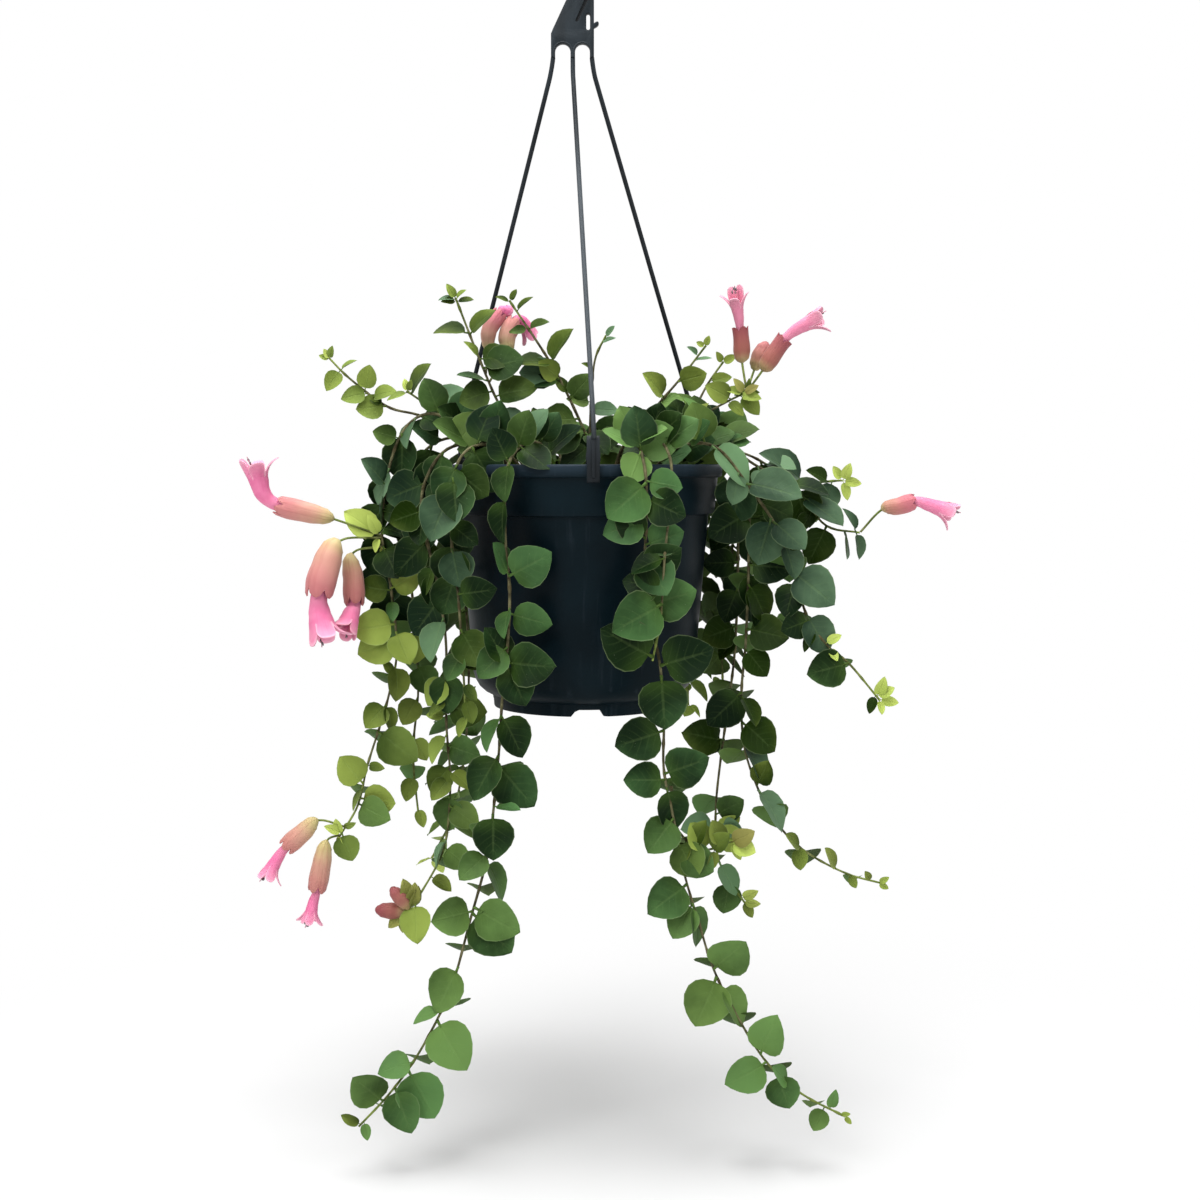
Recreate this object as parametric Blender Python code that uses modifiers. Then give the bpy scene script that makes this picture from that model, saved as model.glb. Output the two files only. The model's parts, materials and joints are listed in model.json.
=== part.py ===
"""A lipstick plant in a 150 mm hanging pot: pot, potting mix, three-leg hanger, vines and flowers.

The origin is the seat of the hook, +Z is up, and the front of the pot faces -Y.
Plant and pot sizes are in millimetres from the centre of the pot's rim; MM turns them into metres.
"""

import math
import random

import bmesh
import bpy
from mathutils import Matrix, Vector
from mathutils.bvhtree import BVHTree

MM = 0.001

# ---- driving dimensions (mm) ----
RIM_DROP = 295.0            # from the hook's seat down to the top of the pot's rim
RIM_R = 75.0                # outer radius of the rim
RIM_BAND = 6.5              # height of the rim's band
POT_HEIGHT = 131.0
COLLAR_Z = -26.0            # ledge where the upper collar steps in to the wall
FOOT_R = 49.8
WALL = 1.6                  # wall thickness of the moulding
ROUND_STEPS = 36            # facets round the pot

NOTCH_COUNT = 4             # water notches round the foot ring
NOTCH_WIDTH = 14.0
NOTCH_HEIGHT = 3.6
DRAIN_COUNT = 6
DRAIN_R = 3.2
DRAIN_RING_R = 36.0

SOIL_GAP = 0.4              # between the potting mix and the pot
SOIL_TOP = -14.4            # surface of the mix below the rim

PLATE_THICKNESS = 3.6       # hanger moulding, front to back
LEG_R = 1.2
LEG_AZIMUTHS = {"hanger_leg_front": 4.0, "hanger_leg_right": 124.0, "hanger_leg_left": 244.0}
LEG_TOPS = {"hanger_leg_front": -5.8, "hanger_leg_right": 4.4, "hanger_leg_left": -16.3}
PLATE_BOTTOM = -79.0        # lower end of the head plate, from the seat
CROOK_IN = 9.0              # inner radius of the hook
CROOK_OUT = 16.0
CROOK_STEP = 12.5           # half the angle of one flat of the hook's inner side, degrees
CROOK_Z = -CROOK_IN * math.cos(math.radians(CROOK_STEP))
CLIP_WIDTH = 6.5

TOUCH = 0.3                 # gap kept between pieces that touch
STEM_R = 1.1
STEM_SPACING = 15.5         # between the points of a stem's tube
PAIR_STEP = 2               # a pair of leaves grows at every second point
LEAF_LENGTH = 25.0
LEAF_THICKNESS = 1.2
LEAF_CLEARANCE = 0.5        # a leaf keeps this far from every other piece
LEAF_SEED = 11

# ---- plant routes: (x, y, z) from the centre of the rim, root to tip ----
VINES = {
    "vine_front_left": [
        (-14, -34, -13), (-20, -46, 8), (-28, -59, 11), (-36, -71, 3), (-39, -72, -14), (-39, -70, -38),
        (-37, -68, -63), (-38, -68, -89), (-41, -68, -119), (-43, -72, -150), (-48, -78, -195),
        (-57, -82, -230), (-67, -85, -265), (-82, -88, -295), (-97, -90, -316), (-113, -92, -333),
    ],
    "vine_front_right": [
        (14, -36, -13), (20, -48, 8), (27, -61, 11), (31, -76, -2), (32, -76, -23), (31, -73, -58),
        (34, -73, -78), (39, -73, -101), (41, -73, -129), (41, -75, -154), (46, -77, -179),
        (51, -79, -205), (59, -82, -232), (66, -84, -254), (77, -86, -276), (92, -88, -300),
        (110, -88, -317), (132, -88, -329),
    ],
    "vine_front_inner": [
        (24, -30, -13), (33, -45, 9), (39, -60, 12), (44, -72, 2), (44, -76, -16), (41, -79, -45),
        (39, -80, -75), (35, -80, -98),
    ],
    "vine_right": [
        (32, 2, -13), (52, 4, 12), (72, 5, 13), (83, 5, -4), (84, 0, -52), (83, 0, -96), (80, -5, -123),
        (75, -8, -158), (72, -10, -188), (73, -12, -213), (79, -14, -226), (88, -16, -239),
    ],
    "vine_right_low": [
        (30, -14, -13), (54, -22, 8), (76, -28, 8), (86, -32, -10), (87, -32, -50), (86, -30, -93),
        (84, -29, -120), (85, -30, -146), (90, -32, -165), (100, -34, -186), (115, -36, -203),
        (138, -38, -216), (160, -40, -222),
    ],
    "vine_right_reach": [
        (22, -6, -13), (48, -12, 12), (70, -16, 12), (94, -20, -2), (112, -22, -12), (128, -25, -32),
        (146, -28, -36),
    ],
    "vine_right_arch": [
        (28, -24, -13), (48, -38, 8), (68, -46, 9), (86, -46, -12), (101, -46, -34), (109, -45, -56),
        (117, -45, -80), (128, -45, -95), (139, -45, -104), (155, -45, -123),
    ],
    "vine_right_crown": [(28, 16, -13), (56, 20, 10), (89, 21, 6), (118, 21, -9), (144, 22, -9)],
    "vine_left": [
        (-34, -4, -13), (-58, -7, 14), (-80, -9, 27), (-95, -12, 20), (-104, -15, -2), (-108, -18, -35),
        (-103, -20, -67), (-100, -22, -99), (-104, -22, -121), (-109, -24, -139), (-116, -26, -161),
        (-121, -28, -182), (-131, -30, -199),
    ],
    "vine_left_middle": [
        (-30, -18, -13), (-50, -26, 9), (-71, -34, 8), (-83, -36, -10), (-84, -36, -30), (-77, -38, -60),
        (-72, -41, -92), (-72, -42, -134), (-70, -43, -166), (-72, -45, -195), (-77, -46, -210),
        (-90, -48, -232),
    ],
    "vine_left_inner": [
        (-24, -26, -13), (-42, -42, 8), (-58, -56, 8), (-66, -62, -8), (-67, -61, -36), (-64, -58, -66),
        (-62, -58, -98), (-60, -60, -130),
    ],
    "vine_left_outer": [
        (-30, 8, -13), (-56, 12, 12), (-82, 14, 12), (-97, 13, -10), (-97, 11, -48), (-94, 9, -86),
        (-92, 7, -124), (-95, 5, -160), (-92, 4, -196),
    ],
    "vine_back_right": [
        (20, 31, -13), (37, 47, 10), (55, 61, 8), (64, 70, -14), (63, 69, -60), (60, 67, -104),
        (61, 69, -142),
    ],
    "vine_back": [
        (4, 32, -13), (6, 52, 10), (8, 72, 8), (8, 85, -14), (6, 84, -48), (4, 81, -80), (2, 82, -106),
    ],
    "vine_back_centre": [
        (-10, 24, -13), (-16, 46, 10), (-24, 70, 8), (-29, 82, -16), (-30, 80, -52), (-28, 78, -84),
        (-31, 80, -112),
    ],
    "vine_back_left": [
        (-26, 22, -13), (-44, 38, 10), (-62, 53, 8), (-72, 61, -16), (-71, 61, -62), (-68, 58, -110),
        (-70, 60, -160), (-78, 66, -205), (-92, 72, -235),
    ],
    "vine_back_side": [
        (38, 27, -13), (56, 30, 12), (74, 32, 9), (85, 38, -12), (84, 42, -52), (79, 43, -96),
        (80, 44, -140),
    ],
    "sprout_tall_left": [(-20, -14, -13), (-32, -28, 12), (-44, -30, 31), (-54, -30, 54), (-67, -26, 87)],
    "sprout_tall_middle": [(8, -22, -13), (4, -26, 8), (-2, -25, 23), (-16, -25, 51), (-39, -22, 86)],
    "sprout_left": [(-42, 4, -13), (-66, 2, 14), (-88, 0, 26), (-106, -3, 31), (-126, -5, 46), (-137, -5, 57)],
    "sprout_left_short": [(-44, 21, -13), (-58, 21, 8), (-72, 16, 22), (-84, 11, 31), (-97, 8, 40)],
    "sprout_flowering": [(36, -22, -13), (44, -24, 8), (56, -22, 21), (72, -24, 31), (86, -25, 38)],
    "sprout_right": [(14, 6, -13), (24, 2, 14), (38, 0, 30), (52, 0, 46), (66, 0, 64)],
    "sprout_right_short": [(42, -6, -13), (49, -8, 8), (57, -8, 24), (66, -7, 42), (75, -6, 55)],
    "sprout_back": [(2, 12, -13), (3, 18, 14), (4, 20, 38), (6, 20, 58), (12, 20, 71)],
}

# ---- flowers: the vine each grows from, then its points from pedicel to lips ----
FLOWERS = {
    "flower_upright": ("sprout_flowering", [(83, -25, 38), (82, -26, 52), (81, -26, 73), (78, -26, 92)]),
    "flower_leaning": ("sprout_flowering", [(87, -25, 38), (95, -26, 51), (106, -28, 67), (128, -30, 77)]),
    "flower_right": ("vine_right_reach", [(146, -28, -36), (159, -29, -26), (176, -30, -20), (204, -31, -28)]),
    "flower_left_upper": (
        "vine_left", [(-108, -18, -37), (-133, -24, -30), (-159, -27, -23), (-182, -30, 2)]
    ),
    "flower_left_front": (
        "vine_left", [(-107, -19, -43), (-131, -36, -44), (-146, -42, -68), (-139, -42, -102)]
    ),
    "flower_left_back": (
        "vine_left", [(-107, -19, -49), (-121, -20, -48), (-127, -20, -74), (-134, -20, -100)]
    ),
    "flower_low_outer": (
        "vine_left", [(-131, -30, -199), (-144, -32, -193), (-158, -32, -204), (-174, -32, -224)]
    ),
    "flower_low_inner": (
        "vine_left", [(-131, -30, -199), (-139, -33, -204), (-146, -33, -222), (-149, -33, -246)]
    ),
    "flower_top_left": ("sprout_tall_left", [(-48, -29, 40), (-46, -16, 48), (-52, -10, 68), (-46, -6, 84)]),
    "flower_top_right": ("sprout_tall_left", [(-43, -29, 30), (-37, -19, 42), (-37, -9, 64), (-30, -4, 82)]),
}
BUDS = {
    "bud_leaning": ("sprout_flowering", [(85, -25, 38), (91, -17, 50), (98, -15, 65)]),
    "bud_low_upper": ("vine_left_middle", [(-90, -48, -232), (-96, -49, -224), (-101, -50, -217)]),
    "bud_low_lower": ("vine_left_middle", [(-90, -48, -232), (-99, -49, -232), (-109, -50, -234)]),
}
PEDICEL_R = 0.8
CALYX_R = 5.0
CALYX_SHARE = 0.62          # share of a flower's route that its calyx covers
CALYX_RADII = (0.16, 0.2, 0.9, 1.0, 1.0, 0.9)     # along the calyx, as shares of CALYX_R
COROLLA_R = 4.4
COROLLA_RADII = (0.7, 0.75, 0.9, 1.25, 1.0, 0.35)   # along the petals, as shares of COROLLA_R
BUD_RADII = (0.16, 0.2, 0.8, 1.0, 0.8, 0.2)

# name: colour, roughness
FINISHES = {
    "pot_plastic": ((0.012, 0.018, 0.026), 0.42),
    "hanger_plastic": ((0.024, 0.032, 0.040), 0.40),
    "potting_mix": ((0.040, 0.025, 0.016), 0.95),
    "leaf": ((0.045, 0.120, 0.035), 0.45),
    "calyx": ((0.42, 0.14, 0.09), 0.55),
    "petal": ((0.78, 0.20, 0.38), 0.50),
}


def clear_scene():
    for obj in list(bpy.data.objects):
        bpy.data.objects.remove(obj, do_unlink=True)
    for collection in list(bpy.data.collections):
        bpy.data.collections.remove(collection)


def new_collection(name, hidden=False):
    collection = bpy.data.collections.new(name)
    bpy.context.scene.collection.children.link(collection)
    collection.hide_render = hidden
    return collection


def make_finish(name):
    colour, roughness = FINISHES[name]
    material = bpy.data.materials.new(name)
    material.use_nodes = True
    shader = material.node_tree.nodes["Principled BSDF"]
    shader.inputs["Base Color"].default_value = (*colour, 1.0)
    shader.inputs["Roughness"].default_value = roughness
    shader.inputs["Metallic"].default_value = 0.0
    return material


def world(point):
    """A place given from the rim's centre in millimetres, as metres from the hook's seat."""
    x, y, z = point
    return Vector((x, y, z - RIM_DROP)) * MM


def add_object(name, data, collection, finish=None):
    obj = bpy.data.objects.new(name, data)
    collection.objects.link(obj)
    if finish:
        data.materials.append(finish)
    return obj


def curve_to_mesh(obj):
    """Swap a curve object for a closed mesh object of the same name, with its caps welded on."""
    bpy.context.view_layer.update()
    mesh = bpy.data.meshes.new_from_object(obj.evaluated_get(bpy.context.evaluated_depsgraph_get()))
    name, place, collection = obj.name, obj.matrix_world.copy(), obj.users_collection[0]
    bpy.data.objects.remove(obj, do_unlink=True)
    cage = bmesh.new()
    cage.from_mesh(mesh)
    bmesh.ops.remove_doubles(cage, verts=cage.verts, dist=1e-6)
    bmesh.ops.recalc_face_normals(cage, faces=cage.faces)
    cage.to_mesh(mesh)
    cage.free()
    solid = bpy.data.objects.new(name, mesh)
    solid.matrix_world = place
    collection.objects.link(solid)
    return solid


def turned(name, profile, collection, finish):
    """A round piece from its (radius, height) outline, read down its outer side."""
    mesh = bpy.data.meshes.new(name)
    rows = [world((radius, 0.0, height)) for radius, height in profile]
    mesh.from_pydata(rows, [(i, i + 1) for i in range(len(rows) - 1)], [])
    obj = add_object(name, mesh, collection, finish)
    screw = obj.modifiers.new("turn", "SCREW")
    screw.steps = screw.render_steps = ROUND_STEPS
    screw.use_merge_vertices = True
    screw.merge_threshold = 1e-5
    return obj


def tube(name, points, radius, collection, shares=None, sides=1):
    """A round bar through the points, in metres, whose thickness can follow a list of shares."""
    curve = bpy.data.curves.new(name, "CURVE")
    curve.dimensions = "3D"
    curve.bevel_depth = radius
    curve.bevel_resolution = sides
    curve.use_fill_caps = True
    spline = curve.splines.new("POLY")
    spline.points.add(len(points) - 1)
    for index, point in enumerate(points):
        spline.points[index].co = (*point, 1.0)
        spline.points[index].radius = shares[index] if shares else 1.0
    return curve_to_mesh(add_object(name, curve, collection))


def plate(name, outline, half_thickness, place, collection):
    """A flat outline (metres, in its own XY plane) made solid, then moved to its place."""
    curve = bpy.data.curves.new(name, "CURVE")
    curve.dimensions = "2D"
    curve.fill_mode = "BOTH"
    curve.extrude = half_thickness
    spline = curve.splines.new("POLY")
    spline.points.add(len(outline) - 1)
    for index, (x, y) in enumerate(outline):
        spline.points[index].co = (x, y, 0.0, 1.0)
    spline.use_cyclic_u = True
    solid = curve_to_mesh(add_object(name, curve, collection))
    solid.data.transform(place)
    return solid


def combine(target, pieces, operation):
    """Cut or join the pieces of a collection with an exact Boolean that stays on the target."""
    boolean = target.modifiers.new(operation.lower(), "BOOLEAN")
    boolean.operation = operation
    boolean.operand_type = "COLLECTION"
    boolean.collection = pieces
    boolean.solver = "EXACT"
    for piece in pieces.objects:
        piece.display_type = "WIRE"
        piece.hide_render = True


def arc(centre_x, centre_y, radius, start, stop, count):
    """Points on an arc, both ends included, from one angle to another in degrees."""
    for step in range(count + 1):
        angle = math.radians(start + (stop - start) * step / count)
        yield (centre_x + radius * math.cos(angle), centre_y + radius * math.sin(angle))


# ---- pot ----

def pot_profile():
    """Inner floor to rim, then down the outer wall to the underside's centre."""
    inner = [
        (0.0, -122.4), (49.6, -122.4), (55.4, -118.0), (58.6, -112.4), (65.6, -27.2), (69.0, -25.4),
        (70.4, -RIM_BAND), (71.4, -1.2), (72.2, 0.0),
    ]
    rim = [(74.2, 0.0), (RIM_R, -0.8), (RIM_R, -RIM_BAND)]
    wall = [
        (72.4, -RIM_BAND - 0.8), (70.9, COLLAR_Z), (67.6, COLLAR_Z - 0.9), (60.5, -113.0),
        (57.4, -119.4), (51.6, -124.0),
    ]
    foot = [
        (FOOT_R + 0.6, -125.0), (FOOT_R, -POT_HEIGHT), (FOOT_R - 2.4, -POT_HEIGHT),
        (FOOT_R - 3.0, -122.4 - WALL), (0.0, -122.4 - WALL),
    ]
    return inner + rim + wall + foot


def build_pot(collection, finish):
    pot = turned("pot", pot_profile(), collection, finish)
    cutters = new_collection("pot_cutters", hidden=True)
    for index in range(NOTCH_COUNT):
        half = NOTCH_WIDTH / 2 * MM
        top = NOTCH_HEIGHT * MM
        outline = [(-half - top, -top), (half + top, -top), (half - top / 2, top), (top / 2 - half, top)]
        around = Matrix.Rotation(math.radians(360.0 * index / NOTCH_COUNT + 3.0), 4, "Z")
        place = around @ Matrix.Translation(world((0.0, -FOOT_R, -POT_HEIGHT)))
        plate(f"notch_{index}", outline, 6.0 * MM, place @ Matrix.Rotation(math.pi / 2, 4, "X"), cutters)
    for index in range(DRAIN_COUNT):
        angle = math.radians(360.0 * (index + 0.5) / DRAIN_COUNT)
        bpy.ops.mesh.primitive_cylinder_add(
            vertices=12,
            radius=DRAIN_R * MM,
            depth=12.0 * MM,
            location=world((DRAIN_RING_R * math.cos(angle), DRAIN_RING_R * math.sin(angle), -124.0)),
        )
        hole = bpy.context.object
        hole.name = f"drain_{index}"
        bpy.context.collection.objects.unlink(hole)
        cutters.objects.link(hole)
    return pot, (pot, cutters, "DIFFERENCE")


def build_potting_mix(collection, finish):
    """Fills the pot a little inside its inner wall, up to the watering space under the rim."""
    gap = SOIL_GAP
    profile = [
        (0.0, SOIL_TOP), (69.3 - gap, SOIL_TOP), (68.4 - gap, -25.4),
        (65.0 - gap, -27.6), (58.3 - gap, -112.0), (55.0 - gap, -117.6 + gap), (49.4 - gap, -122.4 + gap),
        (0.0, -122.4 + gap),
    ]
    return turned("potting_mix", profile, collection, finish)


# ---- hanger ----

def hook_outline():
    """Head plate, slanting stem and crook, in millimetres from the hook's seat."""
    right, left = 5.5, -17.4
    arch_top = PLATE_BOTTOM + 7.0
    outline = [(right, PLATE_BOTTOM), (right, -64.5), (9.2, -62.0), (9.2, -60.2), (7.8, -59.6), (right, -61.2)]
    outline += [(right, -37.0)]
    outline += arc(0.0, CROOK_Z, CROOK_OUT, -23.0, 207.0, 17)
    outline += arc(0.0, CROOK_Z, CROOK_IN, 90.0 + 9 * CROOK_STEP, 90.0 - 9 * CROOK_STEP, 9)
    outline += [(left, -66.0), (left, PLATE_BOTTOM)]
    for arch_left, arch_right in ((-15.2, -7.0), (-4.6, 3.3)):
        radius = (arch_right - arch_left) / 2
        outline.append((arch_left, PLATE_BOTTOM))
        outline += arc(arch_left + radius, arch_top - radius, radius, 180.0, 0.0, 6)
        outline.append((arch_right, PLATE_BOTTOM))
    return [(x * MM, z * MM) for x, z in outline]


def build_hook(collection, finish):
    upright = Matrix.Rotation(math.pi / 2, 4, "X")
    hook = plate("hanger_hook", hook_outline(), PLATE_THICKNESS / 2 * MM, upright, collection)
    hook.data.materials.append(finish)
    cutters = new_collection("hook_cutters", hidden=True)
    slot = [(1.3, -65.0), (3.5, -65.0), (3.5, -56.4), (1.3, -56.4)]
    groove = [(-4.1, -60.3), (-3.1, -60.7), (7.2, -37.2), (6.2, -36.8)]
    plate("slot", [(x * MM, z * MM) for x, z in slot], PLATE_THICKNESS * MM, upright, cutters)
    sunk = Matrix.Translation((0.0, -(PLATE_THICKNESS / 2 + 0.2) * MM, 0.0)) @ upright
    plate("groove", [(x * MM, z * MM) for x, z in groove], 0.9 * MM, sunk, cutters)
    return hook, (hook, cutters, "DIFFERENCE")


def leg_route(top_x, azimuth):
    """From under the head plate, out to the rim and down into the clip, in millimetres."""
    turn = math.radians(azimuth)
    top = Vector((top_x, 0.0, RIM_DROP + PLATE_BOTTOM - TOUCH))
    out = Vector((math.sin(turn), -math.cos(turn), 0.0))
    clip = out * 76.3 + Vector((0.0, 0.0, 13.0))
    bend = top + Vector((0.0, 0.0, -9.0)) + out * 0.8
    above = clip + Vector((0.0, 0.0, 10.0)) - out * 0.6
    return [top, bend, bend.lerp(above, 0.04) - out * 0.3, bend.lerp(above, 0.5), above, clip]


def clip_outline():
    """Section of the clip that straddles the rim: (radius, height)."""
    outer, inner, rim = RIM_R + 2.6, 68.2, RIM_R + 0.4
    return [
        (rim, -8.6), (outer, -8.6), (outer, 12.5), (outer - 0.6, 14.0), (rim + 0.2, 14.0), (rim - 0.4, 12.5),
        (rim - 0.4, 2.8), (inner, 2.8), (inner, -6.0), (inner + 1.6, -6.0), (inner + 1.6, 0.4), (rim, 0.4),
    ]


def build_leg(name, collection, finish):
    azimuth = LEG_AZIMUTHS[name]
    route = [world(point) for point in leg_route(LEG_TOPS[name], azimuth)]
    leg = tube(name, route, LEG_R * MM, collection, sides=2)
    leg.data.materials.append(finish)
    clips = new_collection(f"{name}_clip", hidden=True)
    outward = Matrix.Rotation(math.radians(azimuth - 90.0), 4, "Z")
    place = Matrix.Translation((0.0, 0.0, -RIM_DROP * MM)) @ outward @ Matrix.Rotation(math.pi / 2, 4, "X")
    section = [(radius * MM, height * MM) for radius, height in clip_outline()]
    clip = plate(f"{name}_clip", section, CLIP_WIDTH / 2 * MM, place, clips)
    return leg, clip, (leg, clips, "UNION")


# ---- plant ----

def smooth(points, spacing):
    """Points evenly spread along a smooth curve through the given ones, all in millimetres."""
    knots = [Vector(point) for point in points]
    ends = [knots[0] * 2 - knots[1]] + knots + [knots[-1] * 2 - knots[-2]]
    dense = [knots[0]]
    for before, start, stop, after in zip(ends, ends[1:], ends[2:], ends[3:]):
        for step in range(1, 17):
            t = step / 16
            dense.append(
                0.5 * (2 * start + (stop - before) * t + (2 * before - 5 * start + 4 * stop - after) * t**2
                       + (3 * start - before - 3 * stop + after) * t**3)
            )
    lengths = [0.0]
    for start, stop in zip(dense, dense[1:]):
        lengths.append(lengths[-1] + (stop - start).length)
    count = max(3, round(lengths[-1] / spacing))
    spread, index = [], 0
    for step in range(count + 1):
        target = lengths[-1] * step / count
        while index < len(dense) - 2 and lengths[index + 1] < target:
            index += 1
        span = lengths[index + 1] - lengths[index]
        spread.append(dense[index].lerp(dense[index + 1], (target - lengths[index]) / span))
    return spread


def stem_points(name):
    """Points of a vine's stem, whose lower end just clears the potting mix."""
    points = smooth(VINES[name], STEM_SPACING)
    rise = (points[1] - points[0]).normalized()
    points[0].z = SOIL_TOP + TOUCH + STEM_R * math.hypot(rise.x, rise.y)
    return points


def leaf_outline():
    """A blade one unit long, from inside its stem to its tip."""
    half = [(0.0, 0.04), (0.42, 0.42)]
    return [(x, -y) for x, y in half] + [(1.0, 0.0)] + [(x, y) for x, y in reversed(half)]


def leaf_frames(nodes, chance):
    """Places of opposite pairs along a stem, each pair turned from the last."""
    for index in range(PAIR_STEP, len(nodes) - 1, PAIR_STEP):
        node = nodes[index]
        along = (nodes[index + 1] - nodes[index - 1]).normalized()
        inside = math.hypot(node.x, node.y) < RIM_R + 3.0 and node.z < 4.0
        if inside:
            continue
        outward = Vector((node.x, node.y, 0.0)).normalized()
        side = along.cross(outward).normalized()
        outward = side.cross(along).normalized()
        turn = math.radians(34.0 if index % (2 * PAIR_STEP) else -20.0)
        remaining = (len(nodes) - 1 - index) / PAIR_STEP
        length = LEAF_LENGTH * min(1.0, 0.42 + 0.2 * remaining) * chance.uniform(0.88, 1.08)
        for hand in (-1.0, 1.0):
            tip = side * hand * math.cos(turn) + outward * abs(math.sin(turn)) * (1 if hand * turn > 0 else 0.3)
            tip = (tip + along * chance.uniform(0.25, 0.6)).normalized()
            across = outward.cross(tip).normalized()
            normal = tip.cross(across)
            frame = Matrix((tip, across, normal)).transposed().to_4x4()
            size = Matrix.Diagonal((length * MM, length * MM, 1.0, 1.0))
            yield Matrix.Translation(world(node)) @ frame @ size


def search_tree(obj):
    """Search tree of an object's faces in world space."""
    mesh = obj.evaluated_get(bpy.context.evaluated_depsgraph_get()).data
    corners = [obj.matrix_world @ vertex.co for vertex in mesh.vertices]
    return BVHTree.FromPolygons(corners, [tuple(face.vertices) for face in mesh.polygons])


def leaf_tree(blade, place):
    """Search tree of a leaf blade grown by the clearance on every side."""
    length = place.to_scale().x
    spread = 1.0 + 2 * LEAF_CLEARANCE * MM / length
    thicken = 1.0 + 2 * LEAF_CLEARANCE / LEAF_THICKNESS
    swell = Matrix.Diagonal((spread, spread, thicken, 1.0))
    corners = [place @ swell @ vertex.co for vertex in blade.vertices]
    return BVHTree.FromPolygons(corners, [tuple(face.vertices) for face in blade.polygons])


def build_vines(collection, finish, firm):
    """Stems first, then every leaf that clears the firm pieces and the other vines."""
    pattern = new_collection("leaf_pattern", hidden=True)
    flat = Matrix.Identity(4)
    blade = plate("leaf_pattern", leaf_outline(), LEAF_THICKNESS / 2 * MM, flat, pattern).data
    stems = {}
    for name in VINES:
        stems[name] = tube(name, [world(p) for p in stem_points(name)], STEM_R * MM, collection)
        stems[name].data.materials.append(finish)
    trees = [(name, search_tree(stem)) for name, stem in stems.items()]
    joins = []
    for number, (name, stem) in enumerate(stems.items()):
        leaves = new_collection(f"{name}_leaves", hidden=True)
        others = firm + [tree for owner, tree in trees if owner != name]
        for place in leaf_frames(stem_points(name), random.Random(LEAF_SEED + number)):
            tree = leaf_tree(blade, place)
            if any(tree.overlap(other) for other in others):
                continue
            leaf = blade.copy()
            leaf.transform(place)
            add_object(f"{name}_leaf", leaf, leaves)
            trees.append((name, tree))
        joins.append((stem, leaves, "UNION"))
    return joins


def seated(points, vine):
    """The points with the first one moved to just outside the nearest place on its vine."""
    first = Vector(points[0])
    nearest = min(smooth(VINES[vine], 0.5), key=lambda place: (place - first).length)
    away = (Vector(points[1]) - nearest).normalized()
    return [nearest + away * (STEM_R + TOUCH + PEDICEL_R * 0.3)] + [Vector(point) for point in points[1:]]


def along_route(points, start, stop, count):
    """Evenly spread points of the part of a smooth route between two shares of its length."""
    fine = smooth(points, 0.5)
    last = len(fine) - 1
    return [fine[round(last * (start + (stop - start) * step / (count - 1)))] for step in range(count)]


def build_flower(name, vine, points, collection, calyx_finish, petal_finish):
    """A calyx on its pedicel, and the petals that start face to face with the calyx mouth."""
    route = seated(points, vine)
    calyx_points = along_route(route, 0.0, CALYX_SHARE, len(CALYX_RADII))
    calyx = tube(f"{name}_calyx", [world(p) for p in calyx_points], CALYX_R * MM, collection, CALYX_RADII)
    calyx.data.materials.append(calyx_finish)
    mouth = calyx_points[-1]
    out = (mouth - calyx_points[-2]).normalized()
    petal_points = [mouth + out * TOUCH, mouth + out * (TOUCH + 1.5)]
    petal_points += along_route(route, CALYX_SHARE + 0.12, 1.0, len(COROLLA_RADII) - 2)
    petals = tube(f"{name}_petals", [world(p) for p in petal_points], COROLLA_R * MM, collection, COROLLA_RADII)
    petals.data.materials.append(petal_finish)


def build_bud(name, vine, points, collection, finish):
    route = [world(p) for p in along_route(seated(points, vine), 0.0, 1.0, len(BUD_RADII))]
    bud = tube(name, route, CALYX_R * MM, collection, BUD_RADII)
    bud.data.materials.append(finish)


def main():
    clear_scene()
    parts = new_collection("lipstick_plant_hanging_basket")
    finish = {name: make_finish(name) for name in FINISHES}
    pot, pot_cut = build_pot(parts, finish["pot_plastic"])
    mix = build_potting_mix(parts, finish["potting_mix"])
    hook, hook_cut = build_hook(parts, finish["hanger_plastic"])
    legs = [build_leg(name, parts, finish["hanger_plastic"]) for name in LEG_AZIMUTHS]
    bpy.context.view_layer.update()
    firm = [search_tree(piece) for piece in (pot, mix, hook)]
    firm += [search_tree(piece) for leg, clip, _ in legs for piece in (leg, clip)]
    joins = build_vines(parts, finish["leaf"], firm)
    for name, (vine, points) in FLOWERS.items():
        build_flower(name, vine, points, parts, finish["calyx"], finish["petal"])
    for name, (vine, points) in BUDS.items():
        build_bud(name, vine, points, parts, finish["calyx"])
    for target, pieces, operation in (pot_cut, hook_cut, *(join for _, _, join in legs), *joins):
        combine(target, pieces, operation)


main()
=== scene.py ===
"""The look of a lipstick plant in a hanging pot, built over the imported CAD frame.

Plant and pot sizes are in millimetres from the centre of the pot's rim, and the front faces -Y.
"""

import json
import math
import random

import bmesh
import bpy
from mathutils import Matrix, Vector

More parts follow.
